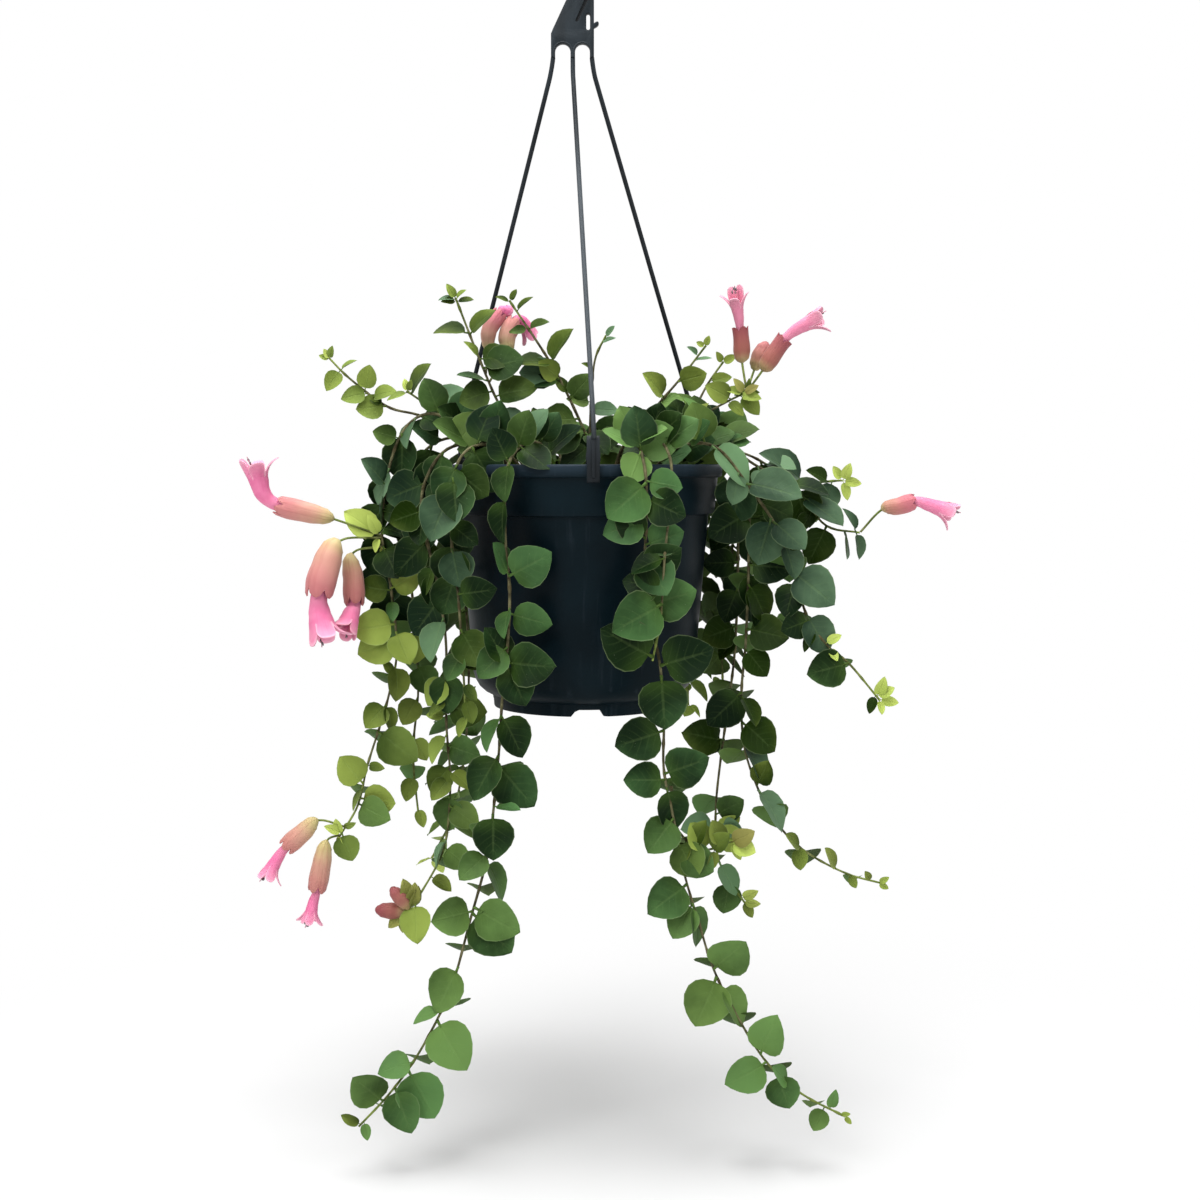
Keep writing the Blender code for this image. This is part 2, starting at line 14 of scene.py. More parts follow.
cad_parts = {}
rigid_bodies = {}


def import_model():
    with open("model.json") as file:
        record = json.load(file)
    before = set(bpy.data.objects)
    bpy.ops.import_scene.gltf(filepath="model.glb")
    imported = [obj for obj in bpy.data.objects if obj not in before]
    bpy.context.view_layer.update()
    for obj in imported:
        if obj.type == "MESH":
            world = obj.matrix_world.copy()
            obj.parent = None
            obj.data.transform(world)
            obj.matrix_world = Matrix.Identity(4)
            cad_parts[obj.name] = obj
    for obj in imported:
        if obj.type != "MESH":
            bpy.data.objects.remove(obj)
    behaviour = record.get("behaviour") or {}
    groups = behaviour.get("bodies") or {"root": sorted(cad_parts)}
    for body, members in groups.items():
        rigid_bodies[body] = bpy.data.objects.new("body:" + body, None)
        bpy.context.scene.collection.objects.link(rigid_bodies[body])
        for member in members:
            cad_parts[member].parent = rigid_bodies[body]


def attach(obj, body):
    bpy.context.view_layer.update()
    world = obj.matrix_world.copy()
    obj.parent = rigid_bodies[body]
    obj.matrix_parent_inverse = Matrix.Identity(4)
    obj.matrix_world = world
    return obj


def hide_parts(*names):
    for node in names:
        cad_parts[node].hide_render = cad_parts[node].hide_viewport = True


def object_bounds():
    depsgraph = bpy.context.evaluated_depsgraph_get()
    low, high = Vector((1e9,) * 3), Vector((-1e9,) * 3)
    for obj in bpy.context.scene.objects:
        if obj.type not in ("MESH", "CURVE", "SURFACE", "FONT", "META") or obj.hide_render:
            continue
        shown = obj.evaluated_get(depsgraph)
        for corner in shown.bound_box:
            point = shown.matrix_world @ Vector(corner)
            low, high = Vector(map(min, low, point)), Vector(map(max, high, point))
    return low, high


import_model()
cad_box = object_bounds()

MM = 0.001

# ---- sizes (mm) and angles (degrees) ----
RIM_DROP = 295.0            # from the hook's seat down to the top of the pot's rim
RIM_R = 75.0                # outer radius of the rim
POT_HEIGHT = 131.0
FOOT_R = 49.8               # outer radius of the foot ring
NOTCH_COUNT = 4             # water notches round the foot ring
NOTCH_WIDTH = 14.0
NOTCH_HEIGHT = 3.6
NOTCH_TURN = 3.0            # of the front notch, to the right
DRAIN_COUNT = 6
DRAIN_R = 3.2
DRAIN_RING_R = 36.0
FLOOR_Z = -124.0            # underside of the pot's floor
FOOT_BELOW = -126.0         # the notches lift only what lies below this
RIB_COUNT = 8               # ribs under the floor
SOIL_TOP = -14.4
SOIL_R = 68.6
PLATE_THICKNESS = 3.6       # head plate, front to back
PLATE_BOTTOM = -79.0        # from the hook's seat
LEG_R = 1.25
LEG_AZIMUTHS = {"hanger_leg_front": 4.0, "hanger_leg_right": 124.0, "hanger_leg_left": 244.0}
LEG_TOPS = {"hanger_leg_front": -5.8, "hanger_leg_right": 4.4, "hanger_leg_left": -16.3}
CROOK_IN = 9.0              # inner and outer radius of the hook
CROOK_OUT = 16.0
CLIP_WIDTH = 6.5
STEM_R = 0.85
NODE_SPACING = 15.5         # between pairs of leaves along a stem
ARCH_SPACING = 10.0         # between leaves where a stem climbs over the rim
PAIRED_LENGTH = 25.0        # of full-grown leaves in pairs, and of those on the far side of a stem
REAR_LENGTH = 22.0
VINE_SEED, FLOWER_SEED, BUD_SEED, MIX_SEED, CRUMB_SEED = 100, 40, 60, 5, 4
UPRIGHT = Matrix.Rotation(math.pi / 2, 4, "X")
AT_RIM = Matrix.Translation((0.0, 0.0, -RIM_DROP * MM))
UP = Vector((0.0, 0.0, 1.0))
FRONT = Vector((0.0, -1.0, 0.0))

# ---- stems: (x, y, z), root to tip ----
VINES = {
    "vine_front_left": [
        (-14, -34, -13), (-20, -46, 8), (-28, -59, 11), (-36, -71, 3), (-39, -72, -14), (-39, -70, -38),
        (-37, -68, -63), (-38, -68, -89), (-41, -68, -119), (-43, -72, -150), (-48, -78, -195),
        (-57, -82, -230), (-67, -85, -265), (-82, -88, -295), (-97, -90, -316), (-113, -92, -333),
    ],
    "vine_front_right": [
        (14, -36, -13), (20, -48, 8), (27, -61, 11), (31, -76, -2), (32, -76, -23), (31, -73, -58),
        (34, -73, -78), (39, -73, -101), (41, -73, -129), (41, -75, -154), (46, -77, -179),
        (51, -79, -205), (59, -82, -232), (66, -84, -254), (77, -86, -276), (92, -88, -300),
        (110, -88, -317), (132, -88, -329),
    ],
    "vine_front_inner": [
        (24, -30, -13), (33, -45, 9), (39, -60, 12), (44, -72, 2), (44, -76, -16), (41, -79, -45),
        (39, -80, -75), (35, -80, -98),
    ],
    "vine_right": [
        (32, 2, -13), (52, 4, 12), (72, 5, 13), (83, 5, -4), (84, 0, -52), (83, 0, -96), (80, -5, -123),
        (75, -8, -158), (72, -10, -188), (73, -12, -213), (79, -14, -226), (88, -16, -239),
    ],
    "vine_right_low": [
        (30, -14, -13), (54, -22, 8), (76, -28, 8), (86, -32, -10), (87, -32, -50), (86, -30, -93),
        (84, -29, -120), (85, -30, -146), (90, -32, -165), (100, -34, -186), (115, -36, -203),
        (138, -38, -216), (160, -40, -222),
    ],
    "vine_right_reach": [
        (22, -6, -13), (48, -12, 12), (70, -16, 12), (94, -20, -2), (112, -22, -12), (128, -25, -32),
        (146, -28, -36),
    ],
    "vine_right_arch": [
        (28, -24, -13), (48, -38, 8), (68, -46, 9), (86, -46, -12), (101, -46, -34), (109, -45, -56),
        (117, -45, -80), (128, -45, -95), (139, -45, -104), (155, -45, -123),
    ],
    "vine_right_crown": [(28, 16, -13), (56, 20, 10), (89, 21, 6), (118, 21, -9), (144, 22, -9)],
    "vine_left": [
        (-34, -4, -13), (-58, -7, 14), (-80, -9, 27), (-95, -12, 20), (-104, -15, -2), (-108, -18, -35),
        (-103, -20, -67), (-100, -22, -99), (-104, -22, -121), (-109, -24, -139), (-116, -26, -161),
        (-121, -28, -182), (-131, -30, -199),
    ],
    "vine_left_middle": [
        (-30, -18, -13), (-50, -26, 9), (-71, -34, 8), (-83, -36, -10), (-84, -36, -30), (-77, -38, -60),
        (-72, -41, -92), (-72, -42, -134), (-70, -43, -166), (-72, -45, -195), (-77, -46, -210),
        (-90, -48, -232),
    ],
    "vine_left_inner": [
        (-24, -26, -13), (-42, -42, 8), (-58, -56, 8), (-66, -62, -8), (-67, -61, -36), (-64, -58, -66),
        (-62, -58, -98), (-60, -60, -130),
    ],
    "vine_left_outer": [
        (-30, 8, -13), (-56, 12, 12), (-82, 14, 12), (-97, 13, -10), (-97, 11, -48), (-94, 9, -86),
        (-92, 7, -124), (-95, 5, -160), (-92, 4, -196),
    ],
    "vine_back_right": [
        (20, 31, -13), (37, 47, 10), (55, 61, 8), (64, 70, -14), (63, 69, -60), (60, 67, -104),
        (61, 69, -142),
    ],
    "vine_back": [
        (4, 32, -13), (6, 52, 10), (8, 72, 8), (8, 85, -14), (6, 84, -48), (4, 81, -80), (2, 82, -106),
    ],
    "vine_back_centre": [
        (-10, 24, -13), (-16, 46, 10), (-24, 70, 8), (-29, 82, -16), (-30, 80, -52), (-28, 78, -84),
        (-31, 80, -112),
    ],
    "vine_back_left": [
        (-26, 22, -13), (-44, 38, 10), (-62, 53, 8), (-72, 61, -16), (-71, 61, -62), (-68, 58, -110),
        (-70, 60, -160), (-78, 66, -205), (-92, 72, -235),
    ],
    "vine_back_side": [
        (38, 27, -13), (56, 30, 12), (74, 32, 9), (85, 38, -12), (84, 42, -52), (79, 43, -96),
        (80, 44, -140),
    ],
    "sprout_tall_left": [(-20, -14, -13), (-32, -28, 12), (-44, -30, 31), (-54, -30, 54), (-67, -26, 87)],
    "sprout_tall_middle": [(8, -22, -13), (4, -26, 8), (-2, -25, 23), (-16, -25, 51), (-39, -22, 86)],
    "sprout_left": [
        (-42, 4, -13), (-66, 2, 14), (-88, 0, 26), (-106, -3, 31), (-126, -5, 46), (-137, -5, 57),
    ],
    "sprout_left_short": [(-44, 21, -13), (-58, 21, 8), (-72, 16, 22), (-84, 11, 31), (-97, 8, 40)],
    "sprout_flowering": [(36, -22, -13), (44, -24, 8), (56, -22, 21), (72, -24, 31), (86, -25, 38)],
    "sprout_right": [(14, 6, -13), (24, 2, 14), (38, 0, 30), (52, 0, 46), (66, 0, 64)],
    "sprout_right_short": [(42, -6, -13), (49, -8, 8), (57, -8, 24), (66, -7, 42), (75, -6, 55)],
    "sprout_back": [(2, 12, -13), (3, 18, 14), (4, 20, 38), (6, 20, 58), (12, 20, 71)],
}

# ---- flowers ----
# Each flower: its stem; foot, calyx base, middle and mouth, corolla middle and throat; the
# calyx's radius; how rosy and how pink the calyx is; the side its hood is on; the corolla's
# girth; its hood, side and lower lobes' lengths and how far they open; and the bracts at its
# foot as (clock, length, roll, look).
FLOWERS = {
    "flower_upright": (
        "sprout_flowering",
        [(85, -24, 41), (83.5, -25, 53), (83, -26, 63), (82, -26, 72), (81.3, -27, 77), (80.5, -28, 81)],
        4.5, (1.0, 0.0), (0.3, 1.0, 0.0), 0.72, (11.5, 9.5, 7.5), 0.6, [(250, 7, 30, "o"), (20, 6, 30, "o")],
    ),
    "flower_leaning": (
        "sprout_flowering",
        [(90.5, -24, 41), (94, -26, 49), (100, -27, 58), (106, -28, 66), (111, -29, 70), (116.5, -30, 73)],
        4.8, (0.95, 0.15), (-0.3, 0.2, 1.0), 0.78, (11.0, 10.0, 11.0), 0.52, [(110, 6, 30, "o")],
    ),
    "flower_right": (
        "vine_right_reach",
        [(147, -28, -34), (157, -29, -24), (166, -30, -22), (175, -30, -19.5), (181, -31, -21),
         (187, -32, -23)],
        4.7, (0.6, 0.9), (0.0, 0.2, 1.0), 0.85, (10.0, 9.5, 9.5), 0.65, [],
    ),
    "flower_left_upper": (
        "vine_left",
        [(-114.5, -20, -38.6), (-132, -25, -29), (-147, -28, -25), (-162, -29, -21), (-168.5, -30, -15.5),
         (-170.8, -31, -7.5)],
        5.7, (0.2, 0.55), (-1.0, -0.2, 0.3), 1.1, (12.0, 11.5, 11.5), 0.7,
        [(306, 22, 12, "y"), (338, 12, 25, "y")],
    ),
    "flower_left_front": (
        "vine_left",
        [(-110, -20, -39), (-128, -34, -40), (-135, -42, -56), (-137.6, -44, -69), (-137.5, -44, -76),
         (-136.2, -45, -82.5)],
        7.8, (0.35, 0.5), (-1.0, -0.2, 0.0), 1.4, (11.0, 12.0, 12.0), 0.65, [(200, 8, 30, "y")],
    ),
    "flower_left_back": (
        "vine_left",
        [(-113, -20, -44.5), (-123, -22, -47), (-122.5, -24, -62), (-122, -27, -75), (-123, -31, -79),
         (-124, -34, -83)],
        5.8, (0.5, 0.25), (1.0, 0.0, 0.0), 1.15, (8.0, 8.0, 8.0), 0.7, [(140, 8, 30, "y")],
    ),
    "flower_low_outer": (
        "vine_left",
        [(-128.4, -30, -193), (-141.5, -31, -189.5), (-150.5, -32, -196.5), (-159.5, -32, -204.5),
         (-163, -32, -209), (-166, -33, -214)],
        5.3, (0.25, 0.15), (-0.8, -0.2, 0.6), 0.76, (8.5, 8.5, 9.0), 0.7, [(80, 7, 20, "l")],
    ),
    "flower_low_inner": (
        "vine_left",
        [(-127.7, -31, -199), (-137, -33, -200), (-140, -33, -213), (-143, -33, -228), (-144.5, -34, -233),
         (-145.5, -35, -238)],
        5.3, (0.3, 0.15), (-0.4, -1.0, 0.1), 0.74, (7.0, 8.0, 7.5), 0.85, [(165, 6, 30, "y")],
    ),
    "flower_top_left": (
        "sprout_tall_left",
        [(-46, -20, 48.7), (-50.6, -18, 60), (-50, -16, 71), (-43.5, -13.6, 81.0), (-42, -13, 81.5),
         (-40.4, -12.5, 81.2)],
        4.4, (0.1, 1.0), (0.0, 0.3, 1.0), 0.7, (2.2, 2.2, 2.2), -0.5, [],
    ),
    "flower_top_right": (
        "sprout_tall_left",
        [(-39, -20, 47), (-41, -19, 59), (-40.5, -16, 68), (-36.5, -12, 76), (-33, -10, 76),
         (-30.5, -8, 72.5)],
        4.9, (0.05, 0.35), (0.6, 0.0, 1.0), 0.8, (5.0, 6.0, 7.0), 0.5, [],
    ),
}
BUDS = {
    "bud_leaning": (
        "sprout_flowering",
        [(89, -22, 41), (90.5, -18, 50), (94, -16, 58), (97.5, -15, 65)],
        4.6, (0.6, 0.3), [],
    ),
    "bud_low_upper": (
        "vine_left_middle",
        [(-84, -48, -230), (-91, -49, -232), (-96, -50, -227), (-101, -50, -221)],
        3.8, (0.9, 0.0), [(350, 16, 25, "r"), (14, 14, 20, "r"), (325, 13, 30, "r"), (30, 12, 45, "r")],
    ),
    "bud_low_lower": (
        "vine_left_middle",
        [(-84, -48, -230.5), (-93, -47, -234), (-101, -46, -234.8), (-110, -46, -234)],
        4.4, (1.0, 0.0), [(196, 12, 20, "r"), (228, 14, 25, "r"), (165, 11, 40, "r")],
    ),
}

# A young shoot that stands off the lower right vines, too small for the CAD model.
SHOOTS = {
    "young_shoot": [
        (44.8, -72, -163), (47.3, -73, -183), (55.8, -74, -193), (64.2, -75, -195), (75.2, -75, -191),
    ],
}

# ---- leaves seen from the front ----
# Each leaf: where it grows, the clock direction it points in (0 up, 90 right), its length,
# its roll about its own length (90 is edge-on), and a letter of LOOKS. It grows at a height
# on a hanging stem or a rising sprout, or at an x on a stem of SIDEWAYS.
# Each look: its tone from dark to light; its hue from grey-green (-1) to olive (1), and tawny
# above; and its youth, from full-grown (0) to fresh (1).
LOOKS = {
    "k": (0.05, 0.0, 0.0),
    "d": (0.25, 0.0, 0.0),
    "m": (0.5, 0.05, 0.0),
    "b": (0.45, 0.5, 0.0),
    "f": (0.9, 0.0, 0.0),
    "g": (0.8, -1.0, 0.0),
    "o": (0.4, 0.95, 0.0),
    "l": (0.8, 0.85, 0.1),
    "y": (0.75, 1.0, 0.9),
    "r": (0.45, 1.8, 0.5),
}
SHADED_ABOVE, LIT_BELOW = -120.0, -215.0    # leaves are in the pot's shade above, in the open below
SHADE_DEPTH = 0.46
SIDEWAYS = ("vine_right_reach", "vine_right_arch", "vine_right_crown", "young_shoot")
LEAVES = {
    "vine_front_left": [
        (11, 28, 20, 45, "g"), (9, 125, 20, 40, "d"), (2, 190, 20, 50, "m"),
        (-16, 187, 23, 50, "m"), (-55, 340, 19, 65, "f"), (-56, 62, 24, 0, "f"), (-75, 105, 22, 0, "f"),
        (-72, 195, 16, 50, "f"), (-92, 225, 21, 15, "f"), (-101, 335, 21, 45, "m"),
        (-100, 92, 27, 0, "m"), (-101, 152, 23, 30, "m"),
        (-126, 150, 24, 40, "m"), (-126, 208, 20, 72, "f"), (-146, 212, 26, 35, "m"), (-151, 140, 28, 0, "m"),
        (-176, 178, 23, 10, "d"), (-172, 92, 14, 80, "f"), (-199, 148, 22, 65, "m"), (-195, 232, 19, 25, "m"),
        (-222, 118, 26, 0, "m"), (-225, 135, 28, 10, "d"), (-224, 262, 22, 10, "m"), (-252, 208, 25, 45, "m"),
        (-275, 252, 15, 70, "f"), (-279, 147, 28, 0, "f"), (-300, 262, 18, 45, "f"), (-304, 152, 28, 0, "f"),
        (-320, 318, 22, 0, "m"), (-313, 160, 24, 0, "m"), (-331, 295, 11, 0, "o"), (-330, 165, 9, 20, "f"),
    ],
    "vine_front_right": [
        (11, 335, 20, 0, "f"), (11, 60, 18, 60, "f"), (11, 85, 23, 5, "f"), (9, 298, 20, 65, "f"),
        (7, 200, 18, 0, "f"), (-9, 228, 26, 0, "f"), (-8, 100, 18, 20, "f"), (-17, 115, 22, 0, "m"),
        (-37, 312, 20, 0, "d"), (-40, 70, 20, 15, "f"), (-52, 58, 22, 0, "m"), (-70, 72, 25, 0, "f"),
        (-68, 205, 25, 0, "f"), (-46, 150, 23, 5, "f"), (-28, 255, 22, 10, "f"),
        (-70, 205, 26, 0, "m"), (-101, 70, 29, 0, "d"), (-106, 176, 27, 0, "m"), (-133, 250, 26, 0, "m"),
        (-155, 66, 24, 0, "m"), (-158, 272, 21, 10, "m"), (-162, 165, 23, 30, "d"), (-178, 220, 21, 10, "m"),
        (-190, 150, 20, 10, "b"), (-194, 120, 20, 20, "m"), (-211, 238, 25, 0, "d"), (-220, 212, 20, 15, "m"),
        (-220, 165, 22, 60, "m"), (-254, 42, 25, 0, "m"), (-257, 203, 27, 0, "m"), (-262, 148, 24, 50, "m"),
        (-296, 15, 23, 30, "f"), (-300, 240, 23, 0, "f"), (-306, 160, 19, 0, "m"), (-312, 325, 15, 65, "f"),
        (-325, 15, 11, 10, "f"), (-324, 205, 13, 10, "m"), (-328, 75, 5, 30, "l"), (-329, 130, 5, 30, "l"),
    ],
    "vine_front_inner": [
        (-62, 285, 20, 10, "d"), (-69, 242, 28, 0, "f"), (-96, 298, 29, 0, "d"), (-46, 250, 18, 50, "m"),
    ],
    "vine_right": [
        (12, 35, 21, 0, "d"), (-10, 215, 14, 40, "o"), (-30, 225, 22, 50, "d"), (-53, 268, 19, 0, "d"),
        (-67, 205, 20, 15, "d"), (-88, 250, 20, 10, "o"), (-95, 225, 14, 40, "o"), (-150, 285, 25, 10, "o"),
        (-152, 268, 13, 10, "d"), (-190, 62, 17, 0, "d"), (-196, 272, 20, 30, "g"), (-197, 88, 14, 20, "g"),
        (-199, 60, 15, 0, "l"), (-203, 84, 17, 10, "l"), (-216, 150, 20, 60, "g"), (-226, 190, 18, 0, "d"),
        (-235, 60, 10, 10, "y"), (-237, 100, 9, 0, "y"), (-237, 150, 10, 20, "o"),
    ],
    "vine_right_low": [
        (-24, 238, 25, 0, "d"), (-52, 92, 23, 10, "k"), (-66, 165, 19, 60, "d"), (-62, 147, 22, 35, "o"),
        (-86, 100, 23, 10, "o"), (-97, 140, 18, 15, "o"), (-120, 225, 25, 0, "k"), (-122, 150, 18, 55, "o"),
        (-136, 128, 23, 20, "o"), (-146, 150, 25, 62, "g"), (-170, 20, 16, 20, "o"), (-172, 140, 25, 68, "g"),
        (-202, 172, 13, 10, "o"), (-203, 318, 13, 60, "o"), (-214, 335, 14, 62, "o"), (-217, 150, 8, 10, "o"),
        (-220, 330, 7, 20, "o"), (-221, 60, 6, 10, "l"), (-221, 120, 6, 10, "l"),
    ],
    "vine_right_reach": [
        (60, 205, 17, 30, "m"), (92, 160, 18, 30, "g"), (110, 95, 20, 60, "d"), (112, 160, 22, 0, "o"),
        (116, 124, 27, 58, "g"), (121, 215, 13, 30, "o"), (128, 205, 22, 0, "o"), (138, 175, 16, 75, "g"),
        (144, 165, 14, 50, "g"), (144, 335, 14, 60, "g"),
    ],
    "vine_right_arch": [
        (66, 130, 28, 45, "g"), (84, 100, 30, 38, "g"), (80, 190, 17, 30, "g"), (97, 195, 25, 20, "g"),
        (98, 130, 22, 35, "g"), (104, 160, 19, 40, "g"), (105, 60, 12, 20, "o"), (109, 125, 26, 15, "g"),
        (110, 198, 20, 20, "d"), (116, 148, 23, 25, "g"), (117, 252, 17, 10, "k"), (121, 215, 12, 40, "o"),
        (126, 60, 9, 30, "y"), (128, 150, 8, 30, "y"), (138, 257, 23, 0, "m"), (152, 200, 10, 40, "o"),
        (153, 20, 11, 0, "y"), (153, 60, 10, 20, "y"), (154, 100, 10, 0, "y"), (154, 170, 8, 20, "y"),
    ],
    "vine_right_crown": [
        (84, 315, 8, 50, "g"), (100, 95, 18, 60, "g"), (122, 308, 30, 55, "g"), (130, 155, 16, 30, "o"),
        (136, 300, 15, 40, "o"), (137, 195, 17, 30, "g"), (142, 330, 9, 20, "y"), (143, 20, 10, 10, "y"),
        (143, 100, 10, 0, "y"), (143, 165, 11, 20, "y"),
    ],
    "vine_left": [
        (17, 182, 25, 25, "d"), (25, 200, 18, 65, "g"), (14, 285, 14, 0, "b"), (-2, 200, 20, 60, "g"),
        (-10, 325, 19, 45, "g"), (-12, 100, 14, 20, "g"), (-14, 195, 18, 70, "g"), (-24, 100, 15, 10, "m"),
        (-33, 100, 16, 60, "m"), (-36, 96, 17, 70, "d"), (-43, 152, 20, 10, "d"), (-66, 62, 19, 0, "l"),
        (-67, 278, 17, 0, "o"), (-72, 175, 12, 10, "m"), (-84, 262, 23, 0, "l"), (-92, 248, 22, 10, "l"),
        (-88, 152, 20, 20, "l"), (-106, 170, 19, 45, "o"), (-112, 330, 10, 40, "o"), (-128, 225, 16, 20, "o"),
        (-128, 160, 14, 55, "o"), (-142, 128, 26, 0, "b"), (-160, 95, 10, 30, "o"), (-170, 322, 19, 20, "l"),
        (-178, 98, 19, 0, "l"), (-180, 114, 19, 0, "m"), (-172, 205, 13, 65, "o"), (-196, 160, 16, 10, "b"),
        (-196, 300, 10, 30, "y"), (-197, 345, 9, 20, "y"),
    ],
    "vine_left_middle": [
        (7, 195, 20, 20, "m"), (-24, 250, 18, 0, "o"), (-26, 185, 16, 20, "m"), (-52, 200, 16, 40, "b"),
        (-80, 200, 24, 50, "g"), (-107, 178, 22, 0, "d"), (-110, 215, 18, 20, "l"), (-122, 230, 12, 30, "o"),
        (-126, 95, 22, 0, "o"), (-130, 270, 10, 20, "l"), (-146, 105, 18, 0, "m"), (-140, 212, 17, 55, "l"),
        (-157, 218, 17, 10, "o"), (-163, 222, 15, 15, "o"), (-160, 120, 14, 60, "l"),
        (-172, 185, 20, 15, "m"),
        (-178, 120, 19, 20, "b"), (-196, 205, 15, 70, "g"), (-200, 130, 16, 20, "m"), (-229, 176, 21, 0, "l"),
        (-215, 120, 13, 40, "o"),
    ],
    "vine_left_inner": [
        (9, 150, 26, 5, "d"), (-6, 172, 24, 15, "m"),
        (0, 205, 22, 15, "m"), (-2, 128, 21, 0, "b"), (-14, 205, 26, 10, "g"), (-30, 125, 17, 20, "d"),
        (-42, 168, 20, 25, "g"), (-66, 82, 20, 0, "d"), (-84, 150, 22, 0, "b"), (-102, 100, 10, 40, "o"),
        (-112, 140, 11, 10, "o"), (-96, 210, 16, 30, "m"), (-120, 160, 13, 40, "l"), (-128, 200, 12, 40, "l"),
    ],
    "vine_left_outer": [
        (11, 190, 28, 0, "d"), (-14, 160, 17, 20, "o"), (-48, 90, 18, 10, "o"), (-50, 140, 17, 10, "m"),
        (-76, 100, 19, 0, "o"), (-90, 178, 19, 10, "l"), (-82, 230, 17, 10, "o"), (-110, 150, 18, 20, "m"),
        (-128, 210, 17, 20, "o"), (-150, 150, 15, 20, "l"), (-172, 200, 14, 20, "o"),
        (-190, 160, 11, 20, "l"),
    ],
    "sprout_tall_left": [
        (27, 205, 28, 0, "k"), (30, 155, 21, 0, "g"), (35, 72, 22, 45, "b"), (38, 255, 18, 10, "b"),
        (43, 283, 17, 72, "m"), (50, 78, 22, 20, "m"), (54, 82, 17, 30, "b"), (55, 322, 11, 55, "l"),
        (67, 38, 18, 66, "o"), (68, 275, 18, 62, "o"), (85, 268, 8, 30, "o"), (85, 85, 9, 45, "o"),
        (86, 330, 9, 10, "l"), (86, 275, 9, 60, "g"), (86, 45, 7, 50, "l"),
    ],
    "sprout_tall_middle": [
        (10, 232, 20, 50, "d"), (16, 130, 18, 40, "k"), (18, 262, 14, 45, "b"), (19, 250, 25, 10, "d"),
        (24, 268, 22, 30, "b"), (34, 40, 17, 0, "b"), (36, 330, 12, 20, "o"), (44, 310, 15, 20, "l"),
        (44, 262, 17, 40, "d"), (46, 275, 20, 15, "g"), (52, 280, 19, 60, "o"), (53, 30, 21, 55, "o"),
        (71, 262, 10, 30, "b"), (71, 70, 12, 50, "b"), (80, 40, 11, 60, "o"), (85, 25, 7, 20, "o"),
        (85, 290, 8, 60, "o"),
    ],
    "sprout_left": [
        (20, 80, 15, 40, "f"), (26, 110, 16, 20, "m"), (31, 265, 16, 20, "l"), (32, 300, 9, 20, "o"),
        (36, 70, 14, 50, "l"), (38, 262, 14, 20, "l"), (39, 12, 14, 0, "l"), (50, 215, 13, 10, "l"),
        (50, 50, 10, 70, "l"), (56, 290, 6, 20, "l"), (56, 10, 7, 20, "l"), (56, 330, 6, 0, "y"),
    ],
    "sprout_left_short": [
        (20, 60, 18, 10, "b"), (24, 110, 20, 20, "b"), (30, 78, 26, 60, "g"), (31, 62, 22, 45, "g"),
        (38, 25, 20, 60, "o"), (39, 250, 12, 50, "l"), (39, 345, 7, 0, "y"), (39, 20, 7, 10, "l"),
    ],
    "sprout_flowering": [
        (10, 150, 16, 40, "d"), (20, 240, 20, 50, "g"), (22, 30, 12, 60, "o"), (24, 330, 13, 60, "f"),
        (33, 130, 11, 30, "o"), (34, 300, 15, 10, "o"), (36, 130, 14, 20, "o"), (37, 60, 9, 20, "r"),
        (37, 330, 9, 20, "r"), (37, 285, 10, 35, "l"), (36, 95, 11, 35, "l"),
    ],
    "sprout_right": [
        (14, 100, 15, 50, "d"), (24, 275, 18, 45, "d"), (28, 95, 20, 60, "d"), (32, 75, 15, 40, "f"),
        (36, 322, 18, 50, "o"), (44, 75, 16, 0, "o"), (56, 80, 9, 70, "g"), (58, 310, 8, 40, "g"),
        (63, 20, 6, 10, "l"), (63, 300, 5, 10, "l"),
    ],
    "sprout_right_short": [
        (12, 200, 15, 30, "m"), (26, 95, 13, 50, "m"), (30, 310, 12, 30, "m"), (44, 75, 12, 20, "o"),
        (54, 330, 7, 10, "l"), (54, 60, 8, 10, "l"),
    ],
    "young_shoot": [
        (47, 250, 15, 30, "o"), (52, 200, 13, 30, "o"), (56, 20, 15, 40, "o"), (62, 330, 16, 30, "l"),
        (64, 40, 13, 20, "o"), (66, 190, 12, 35, "o"), (70, 340, 14, 30, "o"), (75, 60, 13, 10, "r"),
        (75, 110, 13, 20, "y"), (75, 150, 10, 30, "y"),
    ],
    "sprout_back": [
        (30, 90, 15, 30, "g"), (34, 280, 14, 30, "b"), (52, 300, 7, 40, "o"), (66, 60, 8, 50, "g"),
        (70, 40, 8, 40, "g"),
    ],
}


def colour(code):
    """A linear colour from its six-digit screen code."""
    parts = [int(code[i:i + 2], 16) / 255 for i in (0, 2, 4)]
    return tuple(p / 12.92 if p <= 0.04045 else ((p + 0.055) / 1.055) ** 2.4 for p in parts)


def world(point):
    """A place in millimetres from the rim's centre, as metres from the hook's seat."""
    x, y, z = point
    return Vector((x, y, z - RIM_DROP)) * MM


def round_axis(radius, angle, height):
    """The same for a place at a distance from the pot's axis."""
    return world((radius * math.cos(angle), radius * math.sin(angle), height))


# ---- node graphs written as arithmetic ----

